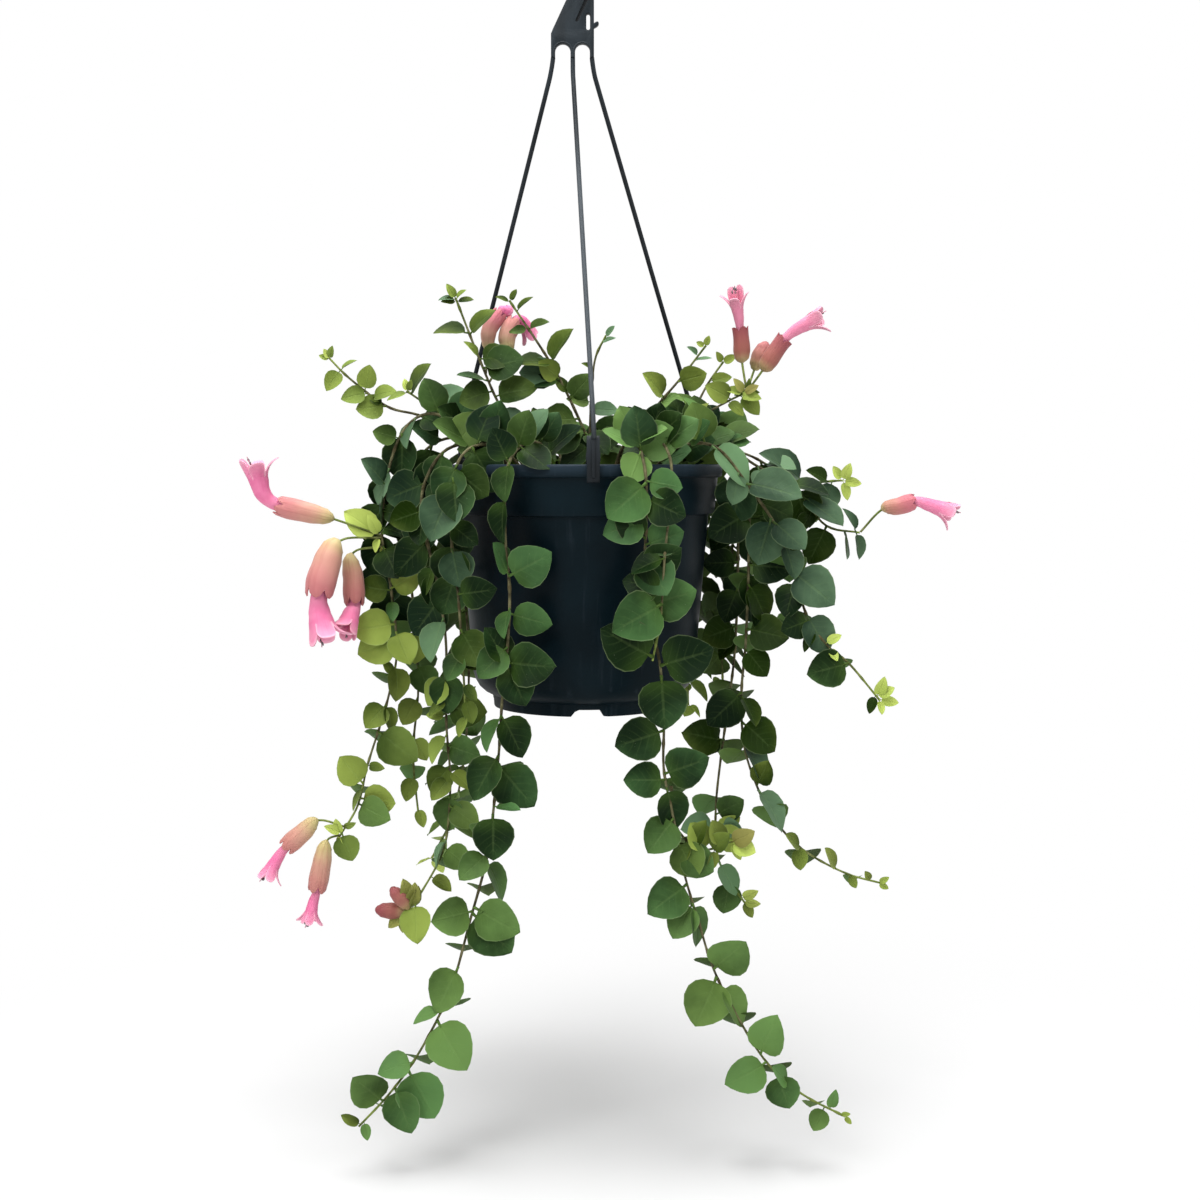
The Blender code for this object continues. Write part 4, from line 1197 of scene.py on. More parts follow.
def build_potting_mix(finish, scatter):
    """An uneven damp surface that fills the pot, with loose crumbs on it."""
    chance = random.Random(MIX_SEED)
    sides = 48
    rings = [0.0, 8.0, 16.0, 24.0, 32.0, 40.0, 48.0, 56.0, 63.0, SOIL_R]
    rows = []
    for radius in rings:
        for side in range(sides):
            angle = 2 * math.pi * side / sides
            rise = chance.uniform(-0.8, 0.9) * (radius < SOIL_R)
            sink = 1.2 * (radius / SOIL_R) ** 4
            rows.append(round_axis(radius, angle, SOIL_TOP + rise - sink))
    lower = [(68.0, -25.6), (64.6, -27.8), (58.0, -111.6), (54.6, -117.0), (49.0, -121.9), (0.0, -121.9)]
    for radius, height in lower:
        rows += [round_axis(radius, 2 * math.pi * side / sides, height) for side in range(sides)]
    faces = ring_faces(rows, sides)
    for side in range(sides):
        rows[side] = world((0.0, 0.0, SOIL_TOP))
    soil = finished("potting_mix_body", mesh_from("potting_mix_body", rows, faces), finish, crease=180.0)
    shown(soil, "potting_mix", "potting_mix")
    cage = bmesh.new()
    bmesh.ops.create_icosphere(cage, subdivisions=1, radius=1.0)
    crumb = bpy.data.objects.new("crumb", uncaged("crumb", cage))
    top = [vertex for ring in range(len(rings) - 1) for vertex in rows[ring * sides:(ring + 1) * sides]]
    top_faces = [face for face in faces if max(face) < len(top)]
    bed = linked("crumb_bed", mesh_from("crumb_bed", top, top_faces))
    crumbs = grown(
        bed, scatter, Crumb=crumb, Density=110000.0, Smallest=0.5 * MM, Largest=2.1 * MM,
        Seed=CRUMB_SEED, Material=finish,
    )
    bpy.data.objects.remove(crumb, do_unlink=True)
    shown(finished("potting_mix_crumbs", crumbs, finish, crease=25.0), "potting_mix")


# ---- hanger ----

def head_outline():
    """Head plate, slanting stem and crook, in millimetres from the hook's seat."""
    right, left = 5.5, -17.4
    arch_top = PLATE_BOTTOM + 7.0
    outline = [(right, PLATE_BOTTOM), (right, -63.8), (6.9, -63.1), (7.9, -62.2), (8.1, -61.2), (7.5, -60.4)]
    outline += [(6.6, -60.6), (right, -61.4), (right, -37.0)]
    outline += arc(0.0, -CROOK_IN, CROOK_OUT, -23.0, 198.0, 40)
    outline.append((-15.4, -13.9))
    outline += arc(0.0, -CROOK_IN, CROOK_IN, 202.0, -22.0, 40)
    outline += [(left + 1.0, -64.4), (left, -66.8), (left, PLATE_BOTTOM)]
    for arch_left, arch_right in ((-15.2, -7.0), (-4.6, 3.3)):
        radius = (arch_right - arch_left) / 2
        outline.append((arch_left, PLATE_BOTTOM))
        outline += arc(arch_left + radius, arch_top - radius, radius, 180.0, 0.0, 14)
        outline.append((arch_right, PLATE_BOTTOM))
    return outline


def build_head(finish, tree):
    """The moulded head: slot, slanting groove, nub, and a raised bead over each arch."""
    slot = list(arc(2.4, -63.9, 1.0, 180.0, 360.0, 8)) + list(arc(2.4, -57.5, 1.0, 0.0, 180.0, 8))
    plate = moulded("head", [head_outline(), slot], PLATE_THICKNESS / 2, 0.55, UPRIGHT)
    head = finished("hanger_head_cut", plate, finish)
    sunk = Matrix.Translation((0.0, -(PLATE_THICKNESS / 2 + 0.2) * MM, 0.0)) @ UPRIGHT
    groove = [(-4.5, -60.1), (-3.7, -60.8), (-2.9, -60.5), (8.2, -37.4), (6.2, -36.9)]
    cutter = linked("groove", moulded("groove", [groove], 1.0, 0.2, sunk))
    cut = head.modifiers.new("groove", "BOOLEAN")
    cut.object = cutter
    cut.solver = "EXACT"
    mesh = evaluated(head)
    bpy.data.objects.remove(cutter, do_unlink=True)
    beads = []
    for middle, radius in ((-11.1, 4.9), (-0.65, 4.75)):
        for face in (-1.0, 1.0):
            low = RIM_DROP + PLATE_BOTTOM
            route = [(middle - radius, face * 1.5, low), (middle - radius, face * 1.5, low + 1.6)]
            route += [(x, face * 1.5, z + low + 2.9) for x, z in arc(middle, 0.0, radius, 170.0, 10.0, 9)]
            route += [(middle + radius, face * 1.5, low + 1.6), (middle + radius, face * 1.5, low)]
            beads.append(tubes("bead", [route], tree, finish, 0.62, sides=8, step=0.8))
    piece = finished("hanger_head", merged("hanger_head", [mesh] + beads), finish)
    shown(piece, "hanger_plastic", "hanger_hook")


def leg_route(top_x, azimuth):
    """From under the head plate, out to the rim and down into the clip."""
    turn = math.radians(azimuth)
    top = Vector((top_x, 0.0, RIM_DROP + PLATE_BOTTOM))
    out = Vector((math.sin(turn), -math.cos(turn), 0.0))
    clip = out * 76.3 + Vector((0.0, 0.0, 12.0))
    start = top + Vector((0.0, 0.0, -3.5)) + out * 0.5
    bend = top + Vector((0.0, 0.0, -9.0)) + out * 1.7
    above = clip + Vector((0.0, 0.0, 11.0)) - out * 0.6
    return [top, start, bend, bend.lerp(above, 0.06) - out * 0.15, bend.lerp(above, 0.5), above, clip]


def clip_outline():
    """Section of the clip that straddles the rim: (radius, height)."""
    outer, inner, rim = RIM_R + 2.6, 68.2, RIM_R + 0.35
    return [
        (rim, -8.8), (rim + 0.9, -9.2), (outer - 0.5, -8.8), (outer, -7.6), (outer, 11.6),
        (outer - 0.4, 13.4), (outer - 1.2, 14.2), (rim, 14.2), (rim - 0.5, 13.0), (rim - 0.5, 3.4),
        (rim - 1.0, 2.8), (inner + 0.6, 2.8), (inner, 2.0), (inner, -6.2), (inner + 0.7, -6.6),
        (inner + 1.6, -6.0), (inner + 1.6, 0.4), (rim, 0.4),
    ]


def build_leg(name, finish, tree):
    """A leg that runs into the clip over the rim, with a stiffening rib and two prongs."""
    azimuth = LEG_AZIMUTHS[name]
    bar = tubes(name, [leg_route(LEG_TOPS[name], azimuth)], tree, finish, LEG_R, sides=14, step=2.5)
    outward = Matrix.Rotation(math.radians(azimuth - 90.0), 4, "Z")
    place = AT_RIM @ outward @ UPRIGHT
    clip = moulded(f"{name}_clip", [clip_outline()], CLIP_WIDTH / 2, 0.4, place)
    rib_outline = [
        (76.6, -8.0), (78.3, -6.6), (78.5, 10.0), (77.6, 17.0), (76.7, 21.0), (75.9, 21.0), (75.9, 9.0),
    ]
    rib = moulded(f"{name}_rib", [rib_outline], 0.9, 0.3, place)
    prongs = []
    for side in (-1.0, 1.0):
        shifted = place @ Matrix.Translation((0.0, 0.0, side * 3.0 * MM))
        prong = [(75.4, 1.0), (77.2, 1.6), (77.4, 4.6), (76.9, 6.2), (76.3, 4.8), (75.6, 4.4)]
        prongs.append(moulded(f"{name}_prong", [prong], 0.6, 0.2, shifted))
    piece = finished(f"{name}_moulding", merged(name, [bar, clip, rib] + prongs), finish)
    shown(piece, "hanger_plastic", name)


# ---- leaves ----

# Each blade, one unit long: its width, the fold of its halves (degrees), droop, cup and wave.
BLADES = {
    "blade_0_flat": (0.90, 6.0, 0.07, 0.03, 0.010),
    "blade_1_folded": (0.86, 20.0, 0.12, 0.00, 0.014),
    "blade_2_arched": (0.92, 10.0, 0.22, 0.02, 0.012),
    "blade_3_cupped": (0.95, 3.0, 0.04, 0.09, 0.008),
    "blade_4_wavy": (0.84, 9.0, 0.10, 0.03, 0.034),
}
PETIOLE = 0.08              # the share of the length that is stalk
BLADE_ROWS = (0.0, 0.035, 0.12, 0.27, 0.46, 0.65, 0.8, 0.92, 1.0)
WIDEST = 0.38


def blade_half_width(u):
    """Half the width of a blade, as a share of its widest: a round base and a short point."""
    if u < WIDEST:
        return max(0.0, 1.0 - (1.0 - u / WIDEST) ** 2) ** 0.42
    return max(0.0, 1.0 - ((u - WIDEST) / (1.0 - WIDEST)) ** 2.0) ** 0.85


def build_blade(name, collection):
    """A thick blade one unit long, with its short stalk along +X and its upper side towards +Z."""
    width, fold, droop, cup, wave = BLADES[name]
    rows, across, thickness = len(BLADE_ROWS) - 1, (-1.0, -0.5, 0.0, 0.5, 1.0), 0.034
    cage = bmesh.new()
    uv = cage.loops.layers.uv.new("UVMap")
    under = cage.faces.layers.float.new("under")
    tilt = math.radians(fold)
    for bottom in (0.0, 1.0):
        grid = []
        for u in BLADE_ROWS:
            half = width / 2 * blade_half_width(u)
            line = []
            for v in across:
                y = half * v * math.cos(tilt)
                z = half * abs(v) * math.sin(tilt) + cup * (v * v - 0.4) * half * 2 - droop * u * u
                z += wave * math.sin(9.0 * u + 2.0 * v) * abs(v)
                z -= bottom * thickness * (1.0 - v * v) * min(1.0, 3.0 * min(u, 1.0 - u) + 0.15)
                line.append(cage.verts.new((PETIOLE + u * (1.0 - PETIOLE), y, z)))
            grid.append(line)
        for row in range(rows):
            for col in range(len(across) - 1):
                corners = [(row, col), (row + 1, col), (row + 1, col + 1), (row, col + 1)]
                face = cage.faces.new([grid[r][c] for r, c in corners])
                face[under] = bottom
                for loop, (r, c) in zip(face.loops, corners):
                    loop[uv].uv = (BLADE_ROWS[r], (across[c] + 1.0) / 2)
    stalk = []
    for x, size in ((-0.02, 0.034), (PETIOLE + 0.05, 0.022)):
        corners = ((-size, 0.0), (0.0, size), (size, 0.0), (0.0, -size))
        stalk.append([cage.verts.new((x, y, z - 0.012)) for y, z in corners])
    for side in range(4):
        after = (side + 1) % 4
        face = cage.faces.new([stalk[0][side], stalk[0][after], stalk[1][after], stalk[1][side]])
        face[under] = 1.0
        for loop in face.loops:
            loop[uv].uv = (0.0, 0.5)
    for end in stalk:
        cage.faces.new(end)[under] = 1.0
    bmesh.ops.remove_doubles(cage, verts=cage.verts, dist=1e-5)
    bmesh.ops.dissolve_degenerate(cage, edges=cage.edges, dist=1e-6)
    bmesh.ops.recalc_face_normals(cage, faces=cage.faces)
    for face in cage.faces:
        face.smooth = True
    for edge in cage.edges:
        sides = {face[under] for face in edge.link_faces}
        edge.smooth = len(sides) == 1
    collection.objects.link(bpy.data.objects.new(name, uncaged(name, cage)))


class Leaf:
    """Where a leaf grows, where it points, which way its upper side faces, and its size in mm."""

    def __init__(self, place, tip, facing, length, look, width, kind):
        self.place, self.length, self.width, self.kind = place, length, width, kind
        self.tone, self.hue, self.age = look
        along = tip.normalized()
        across = facing.cross(along)
        if across.length < 1e-3:
            across = Vector((1.0, 0.0, 0.0)).cross(along)
        across.normalize()
        self.turn = Matrix((along, across, along.cross(across))).transposed().to_euler("XYZ")


def grow_leaves(name, leaves, tree, blades, finish):
    """One mesh with all the leaves of a vine."""
    mesh = mesh_from(name, [world(leaf.place) for leaf in leaves], [])
    columns = {
        "turn": ("FLOAT_VECTOR", "vector", [value for leaf in leaves for value in leaf.turn]),
        "size": (
            "FLOAT_VECTOR",
            "vector",
            [s * leaf.length * MM for leaf in leaves for s in (1.0, leaf.width, 1.0)],
        ),
        "kind": ("INT", "value", [leaf.kind for leaf in leaves]),
        "tone": ("FLOAT", "value", [leaf.tone for leaf in leaves]),
        "hue": ("FLOAT", "value", [leaf.hue for leaf in leaves]),
        "age": ("FLOAT", "value", [leaf.age for leaf in leaves]),
    }
    for label, (kind, field, values) in columns.items():
        mesh.attributes.new(label, kind, "POINT").data.foreach_set(field, values)
    return grown(linked(name, mesh), tree, Blades=blades, Material=finish)


def clock(degrees, towards):
    """A direction seen from the front: 0 is up, 90 is right; towards turns it to the viewer."""
    turn, lean = math.radians(degrees), math.radians(towards)
    return Vector((math.sin(turn) * math.cos(lean), -math.sin(lean), math.cos(turn) * math.cos(lean)))


def paired_leaves(route, chance):
    """Opposite pairs along a stem, each pair turned a quarter from the last, small at the tip."""
    nodes = smooth(route, NODE_SPACING)
    for index in range(1, len(nodes)):
        node = nodes[index]
        before, after = nodes[index - 1], nodes[min(index + 1, len(nodes) - 1)]
        along = (after - before).normalized()
        if node.z < -4.0 and math.hypot(node.x, node.y) < RIM_R + 2.0:
            continue
        outward = Vector((node.x, node.y, 0.0)).normalized() + UP * 0.2
        side = along.cross(outward).normalized()
        outward = side.cross(along).normalized()
        left = len(nodes) - 1 - index
        share = min(1.0, 0.4 + 0.2 * left)
        youth = max(0.0, 0.9 - 0.55 * left)
        quarter = 50.0 if index % 2 else -38.0
        for hand in (0.0, 180.0):
            turn = math.radians(quarter + hand + chance.uniform(-16.0, 16.0))
            spread = side * math.cos(turn) + outward * math.sin(turn)
            if spread.dot(outward) < -0.35 and math.hypot(node.x, node.y) < RIM_R + 22.0 and node.z < 0.0:
                spread = (spread + outward * 0.9).normalized()
            tip = spread + along * chance.uniform(0.35, 0.75) - UP * chance.uniform(0.05, 0.35)
            facing = outward * 0.8 + UP * 0.7 - along * 0.2
            # painted shade and light: a darker tone in the pot's shade, a lighter one in the open
            tone = chance.uniform(0.1, 0.9) - SHADE_DEPTH * in_shade(node)
            look = (tone, chance.uniform(-0.3, 0.6), youth * chance.uniform(0.6, 1.0))
            yield Leaf(
                node + spread * STEM_R * 0.6, tip, facing, PAIRED_LENGTH * share * chance.uniform(0.85, 1.12),
                look, chance.uniform(0.85, 1.1), chance.randrange(len(BLADES)),
            )


def in_shade(place):
    """1 beside the pot, less over its rim and at the far left, and below 0 in the open under it."""
    def rise(value, low, high):
        return min(1.0, max(0.0, (value - low) / (high - low)))

    beside = rise(place.z, LIT_BELOW, SHADED_ABOVE)
    above = rise(place.z, -10.0, 2.0) * (0.55 + 0.85 * rise(place.x, -10.0, 30.0))
    aside = rise(-place.x, 50.0, 80.0) * rise(-place.z, 45.0, 80.0) * 1.15
    low = rise(-place.z, 150.0, 200.0) * rise(abs(place.x), 45.0, 70.0) * (1.0 - rise(-place.z, 255.0, 285.0))
    return (beside * 1.05 - 0.05) * (1.0 - aside) - above - low * 0.4


def grows_at(name, mark):
    """The place on a stem at a height, or at an x on a sideways stem, searched from the tip."""
    axis = 0 if name in SIDEWAYS else 2
    fine = smooth({**VINES, **SHOOTS}[name], 1.0)
    for before, after in zip(fine[-2::-1], fine[::-1]):
        if min(before[axis], after[axis]) <= mark <= max(before[axis], after[axis]):
            return after
    return min(fine, key=lambda place: abs(place[axis] - mark))


def listed_leaves(name, chance):
    """The leaves of LEAVES, with a slight lean of each towards or away from the front."""
    for index, (mark, hour, length, roll, letter) in enumerate(LEAVES[name]):
        place = grows_at(name, mark)
        tip = clock(hour, (3.0, 25.0, 13.0)[index % 3] + chance.uniform(-3.0, 3.0))
        facing = FRONT - tip * FRONT.dot(tip)
        facing.normalize()
        lift = tip.cross(facing)
        if lift.z < 0.0 or abs(lift.z) < 0.3 and lift.x * place.x < 0.0:
            lift = -lift
        turn = math.radians(roll + chance.uniform(-7.0, 7.0))
        facing = facing * math.cos(turn) + lift * math.sin(turn)
        tone, hue, age = LOOKS[letter]
        # painted shade and light: a darker tone in the pot's shade, a lighter tone and a more olive hue in
        # the open
        shade = in_shade(place)
        tone -= SHADE_DEPTH * shade * (1.0 - age)
        hue += 0.22 * max(0.0, 0.7 - shade)
        look = (tone + chance.uniform(-0.08, 0.08), hue + chance.uniform(-0.12, 0.12), age)
        kind = chance.choice((0, 2, 3, 4)) if roll < 35 else chance.choice((0, 1, 1, 2))
        foot = place + tip * STEM_R * 0.5 + FRONT * 1.1
        slim = 0.66 if length <= 12 else 0.84 if length <= 15 else 1.0
        yield Leaf(foot, tip, facing, length, look, slim * chance.uniform(0.95, 1.06), kind)


def rear_leaves(route, chance):
    """Leaves on the far side of a hanging stem, one at every second node."""
    nodes = smooth(route, NODE_SPACING)
    for index in range(2, len(nodes) - 1, 2):
        node = nodes[index]
        if node.z > -20.0 or (node.z > -POT_HEIGHT - 8.0 and abs(node.x) < 76.0):
            continue
        tip = clock(chance.choice((150.0, 205.0)) + chance.uniform(-25.0, 25.0), -chance.uniform(50.0, 70.0))
        facing = UP * 0.8 - FRONT * 0.6
        look = (chance.uniform(0.2, 0.8), chance.uniform(-0.2, 0.5), 0.0)
        length = REAR_LENGTH * min(1.0, 0.4 + 0.2 * (len(nodes) - 1 - index))
        yield Leaf(node + tip * STEM_R * 0.5, tip, facing, length, look, 1.0, chance.randrange(len(BLADES)))


def arch_leaves(route, chance):
    """Leaves that stand up and outwards where a stem climbs over the rim."""
    for node in smooth(route, ARCH_SPACING)[2:]:
        reach = math.hypot(node.x, node.y)
        if node.z < -3.0 or reach > RIM_R + 6.0:
            continue
        outward = 90.0 if node.x > 0.0 else -90.0
        tip = clock(outward * chance.uniform(-0.5, 1.05), chance.uniform(-10.0, 45.0))
        facing = FRONT * chance.uniform(0.5, 1.0) + UP * chance.uniform(0.3, 0.9)
        look = (chance.uniform(-0.2, 0.55), chance.uniform(-0.5, 0.5), 0.0)
        yield Leaf(
            node + tip * STEM_R, tip, facing, chance.uniform(17.0, 24.0), look,
            chance.uniform(0.9, 1.05), chance.randrange(len(BLADES)),
        )


def side_leaves(route, chance):
    """Large dark leaves behind the listed ones, where the side vines hang beside the rim; their darkness is
    painted shade.
    """
    for node in smooth(route, NODE_SPACING)[2:]:
        if not -72.0 < node.z < 4.0 or abs(node.x) < 64.0 or node.y > 30.0 or node.x > 100.0:
            continue
        outward = 1.0 if node.x > 0.0 else -1.0
        tip = clock(180.0 - outward * chance.uniform(-20.0, 75.0), chance.uniform(-30.0, 5.0))
        facing = FRONT + UP * chance.uniform(0.0, 0.5) + Vector((chance.uniform(-0.4, 0.4), 0.0, 0.0))
        # painted shade: low tones draw these leaves dark, as in the shade beside the pot
        look = (chance.uniform(-0.25, 0.3), chance.uniform(-0.6, 0.5), 0.0)
        yield Leaf(
            node - FRONT * 3.0, tip, facing, chance.uniform(20.0, 27.0), look,
            chance.uniform(0.95, 1.08), chance.randrange(len(BLADES)),
        )


def build_vine(name, number, trees, blades, finishes):
    """A stem and all its leaves, as two pieces."""
    route = {**VINES, **SHOOTS}[name]
    chance = random.Random(VINE_SEED + number)
    stem = tubes(
        f"{name}_stem", [route], trees["stem"], finishes["stem"], STEM_R,
        taper=0.35, swelling=0.3, young=0.22, sides=8,
    )
    shown(finished(f"{name}_stem", stem, finishes["stem"], crease=60.0), "leaf")
    if name in LEAVES:
        leaves = list(listed_leaves(name, chance))
        leaves.extend([] if name in SHOOTS else rear_leaves(route, chance))
    else:
        leaves = list(paired_leaves(route, chance))
    if not name.startswith("sprout"):
        leaves.extend([*arch_leaves(route, chance), *side_leaves(route, chance)])
    foliage = grow_leaves(f"{name}_leaves", leaves, trees["leaf"], blades, finishes["leaf"])
    shown(linked(f"{name}_leaves", foliage), "leaf", *([name] if name in VINES else []))


# ---- flowers ----

class Spine:
    """A smooth line through a flower, with a steady sideways direction along it."""

    def __init__(self, points, hood):
        self.points = smooth(points, 0.5)
        self.last = len(self.points) - 1
        self.length = sum((b - a).length for a, b in zip(self.points, self.points[1:]))
        self.side = self.direction(1.0).cross(Vector(hood)).normalized()
        self.marks = [self.nearest(Vector(point)) for point in points]

    def nearest(self, place):
        """The share along the line that is closest to a place."""
        return min(range(self.last + 1), key=lambda index: (self.points[index] - place).length) / self.last

    def at(self, share):
        spot = max(0.0, share * self.last)
        index = min(int(spot), self.last - 1)
        return self.points[index].lerp(self.points[index + 1], spot - index)

    def direction(self, share):
        index = min(max(int(share * self.last), 1), self.last - 1)
        return (self.points[index + 1] - self.points[index - 1]).normalized()

    def around(self, share, angle, radius):
        """A place off the spine; angle 0 is on its upper side."""
        along = self.direction(min(share, 1.0))
        side = (self.side - along * self.side.dot(along)).normalized()
        above = side.cross(along).normalized()
        return self.at(share) + (above * math.cos(angle) + side * math.sin(angle)) * radius


def seated(points, vine):
    """The points with the first one moved to just outside the nearest place on its vine."""
    first = Vector(points[0])
    nearest = min(smooth(VINES[vine], 0.5), key=lambda place: (place - first).length)
    away = (Vector(points[1]) - nearest).normalized()
    return [nearest + away * STEM_R * 0.5] + [Vector(point) for point in points[1:]]


def tube_mesh(name, rows, uvs, sides, closed=False):
    """A tube with its UV map, from rings of points."""
    mesh = mesh_from(name, rows, ring_faces(rows, sides, closed))
    layer = mesh.uv_layers.new(name="UVMap")
    for face in mesh.polygons:
        spots = {vertex % sides for vertex in face.vertices}
        wraps = 0 in spots and sides - 1 in spots
        for loop, vertex in zip(face.loop_indices, face.vertices):
            u, v = uvs[vertex]
            layer.data[loop].uv = (u, 1.0 if wraps and v == 0.0 else v)
    return mesh


def lobed_shell(name, spine, start, stop, radius_at, reach_at, wall, rings, sides):
    """A tube along part of a spine whose mouth ends in lobes, closed over its wall thickness."""
    rows, uvs = [], []
    levels = [(ring / rings, 0.0) for ring in range(rings + 1)]
    levels += [(ring / rings, wall) for ring in range(rings, -1, -1)]
    for level, inset in levels:
        for side in range(sides):
            angle = 2 * math.pi * side / sides
            share = level * reach_at(angle)
            radius = max(0.15, radius_at(share, angle) - inset)
            back = inset * 0.3 if level == 1.0 else 0.0
            place = spine.around(start + (stop - start) * share - back / spine.length, angle, radius)
            rows.append(world(place))
            uvs.append((share, side / sides))
    return tube_mesh(name, rows, uvs, sides, closed=True)


def ramp(share, steps):
    """A value read off a list of (share, value) steps, smooth between them."""
    for (low, first), (high, second) in zip(steps, steps[1:]):
        if share <= high:
            t = (share - low) / (high - low)
            return first + (second - first) * t * t * (3 - 2 * t)
    return steps[-1][1]


# Radii along a flower's parts: (share of the way, radius); the tube's in mm, the others as shares.
CALYX_STEPS = [(0.0, 0.16), (0.05, 0.46), (0.16, 0.76), (0.4, 0.94), (0.75, 1.02), (0.93, 0.94), (1.0, 0.8)]
CALYX_STEPS_UP = [
    (0.0, 0.16), (0.05, 0.55), (0.14, 0.88), (0.35, 1.0), (0.75, 0.92), (0.93, 0.94), (1.0, 0.98),
]
BUD_STEPS = [(0.0, 0.16), (0.06, 0.5), (0.2, 0.84), (0.5, 1.0), (0.78, 0.86), (0.93, 0.5), (1.0, 0.14)]
TUBE_STEPS = [(0.0, 2.8), (0.3, 3.2), (0.7, 4.1), (1.0, 4.8)]


def marked(mesh, label, value):
    """The mesh with one number on all its points."""
    mesh.attributes.new(label, "FLOAT", "POINT").data.foreach_set("value", [value] * len(mesh.vertices))
    return mesh


def build_calyx(name, spine, start, stop, steps, radius, tints, finish):
    """The plump tube round a flower's foot, with five low blunt lobes at its mouth."""
    depth = 0.03 if steps is BUD_STEPS else 0.14

    def radius_at(share, angle):
        fold = 1.0 + 0.03 * math.cos(5 * angle) * share * share
        return ramp(share, steps) * radius * fold

    def reach_at(angle):
        return 1.0 - depth + depth * abs(math.cos(2.5 * angle)) ** 0.7

    mesh = lobed_shell(name, spine, start, stop, radius_at, reach_at, wall=0.6, rings=18, sides=40)
    marked(marked(mesh, "rosy", tints[0]), "pink", tints[1])
    shown(finished(f"{name}_tube", mesh, finish, crease=50.0), "calyx", name)


def build_corolla(name, node, spine, girth, lobes, opening, rosy, finish):
    """A curved tube that widens to its throat, with two hood lobes, two side lobes and a lip."""
    hood, side, lip = lobes
    leaves = [(-29.0, 29.0, hood, 0.25), (29.0, 29.0, hood * 0.96, 0.25), (98.0, 39.0, side, 1.0)]
    leaves += [(-98.0, 39.0, side * 0.94, 1.0), (180.0, 42.0, lip, 1.15)]
    sides, tube_rings, lobe_rings = 80, 12, 10
    start = spine.marks[3] - 4.0 / spine.length
    along = spine.direction(1.0)
    rows, uvs, rims = [], [], []
    for ring in range(tube_rings + lobe_rings + 1):
        for index in range(sides):
            degrees = 360.0 * index / sides
            spot = min(1.0, ring / tube_rings)
            radius = ramp(spot, TUBE_STEPS) * girth * (1.0 - 0.08 * abs(math.sin(math.radians(degrees))))
            place = spine.around(start + (1.0 - start) * spot, math.radians(degrees), radius)
            rim = 0.0
            if ring > tube_rings:
                nearest = min(leaves, key=lambda leaf: abs(gap(degrees, leaf[0])) / leaf[1])
                middle, half, length, spread = nearest
                off = gap(degrees, middle) / half
                out = (spine.around(1.0, math.radians(middle), 1.0) - spine.at(1.0)).normalized()
                across = (spine.around(1.0, math.radians(middle + 90.0), 1.0) - spine.at(1.0)).normalized()
                joined = 0.4 if abs(middle) < 40.0 and off * middle < 0.0 else 0.0
                reach = length * (joined + (1.0 - joined) * max(0.0, 1.0 - abs(off) ** 2.4) ** 0.6) + 0.3
                step = reach / lobe_rings
                for number in range(ring - tube_rings):
                    t = (number + 0.5) * step
                    bend = opening * spread * (0.3 + 0.12 * t)
                    place = place + (along * math.cos(bend) + out * math.sin(bend)) * step
                    place = place + across * off * (0.16 if joined else 0.28) * step
                rim = max((ring - tube_rings) / lobe_rings * 0.98, min(1.0, abs(off)))
            rows.append(world(place))
            uvs.append((ring / (tube_rings + lobe_rings), index / sides))
            rims.append(rim)
    mesh = tube_mesh(name, rows, uvs, sides)
    mesh.attributes.new("rim", "FLOAT", "POINT").data.foreach_set("value", rims)
    marked(mesh, "rosy", rosy)
    sheet = linked(name, mesh)
    shell = sheet.modifiers.new("wall", "SOLIDIFY")
    shell.thickness, shell.offset = 0.45 * MM, -1.0
    shown(finished(f"{name}_corolla", evaluated(sheet), finish, crease=70.0), "petal", node)


def gap(degrees, middle):
    """The turn from one direction to another, from -180 to 180 degrees."""
    return (degrees - middle + 180.0) % 360.0 - 180.0


def build_stamens(name, spine, reach, tree, finish, chance):
    """Four threads in two pairs with dark heads joined, and a longer style."""
    routes, heads = [], []
    along = spine.direction(1.0)
    for index, (degrees, longer) in enumerate(((-30, 1.0), (-8, 1.03), (14, 0.84), (36, 0.87), (5, 1.15))):
        angle = math.radians(degrees)
        start = spine.marks[4]
        route = [spine.around(start + (1.0 - start) * share, angle, 1.7) for share in (0.0, 0.5, 1.0)]
        bend = Vector((chance.uniform(-0.2, 0.2), chance.uniform(-0.3, 0.1), -0.15))
        route.append(route[-1] + along * reach * longer * 0.4 + bend * 0.6)
        route.append(route[-1] + along * reach * longer * 0.4 + bend * 2.2)
        routes.append(route)
        head = ball("head")
        turn = along.to_track_quat("X", "Z").to_matrix().to_4x4()
        size = Matrix.Diagonal((*(Vector((0.9, 0.55, 0.5)) * (MM if index < 4 else 0.6 * MM)), 1.0))
        head.transform(Matrix.Translation(world(route[-1])) @ turn @ size)
        heads.append(marked(head, "age", 1.0 if index < 4 else 0.4))
    threads = tubes(name, routes, tree, finish, 0.2, sides=6, step=1.2)
    shown(finished(f"{name}_stamens", merged(name, [threads] + heads), finish, crease=60.0), "petal")


def build_bracts(name, foot, entries, tree, blades, finish, chance):
    """Small leaves where a flower's stalk starts."""
    bracts = []
    for hour, length, roll, letter in entries:
        tip = clock(hour, chance.uniform(0.0, 20.0))
        lift = tip.cross(FRONT).normalized()
        turn = math.radians(roll)
        facing = FRONT * math.cos(turn) + lift * math.sin(turn)
        width, kind = 0.85 if length > 16 else 0.68, 4 if length > 12 else 2
        bracts.append(Leaf(foot, tip, facing, length, LOOKS[letter], width, kind))
    mesh = grow_leaves(f"{name}_bracts", bracts, tree, blades, finish)
    shown(linked(f"{name}_bracts", mesh), "leaf")


def build_stalk(name, spine, stop, tree, finish):
    """The thin stalk from the stem to the calyx."""
    route = [spine.at(stop * step / 6) for step in range(7)]
    stalk = tubes(name, [route], tree, finish, 0.6, young=1.5, sides=8, step=1.5)
    shown(finished(f"{name}_stalk", stalk, finish, crease=60.0), "leaf")


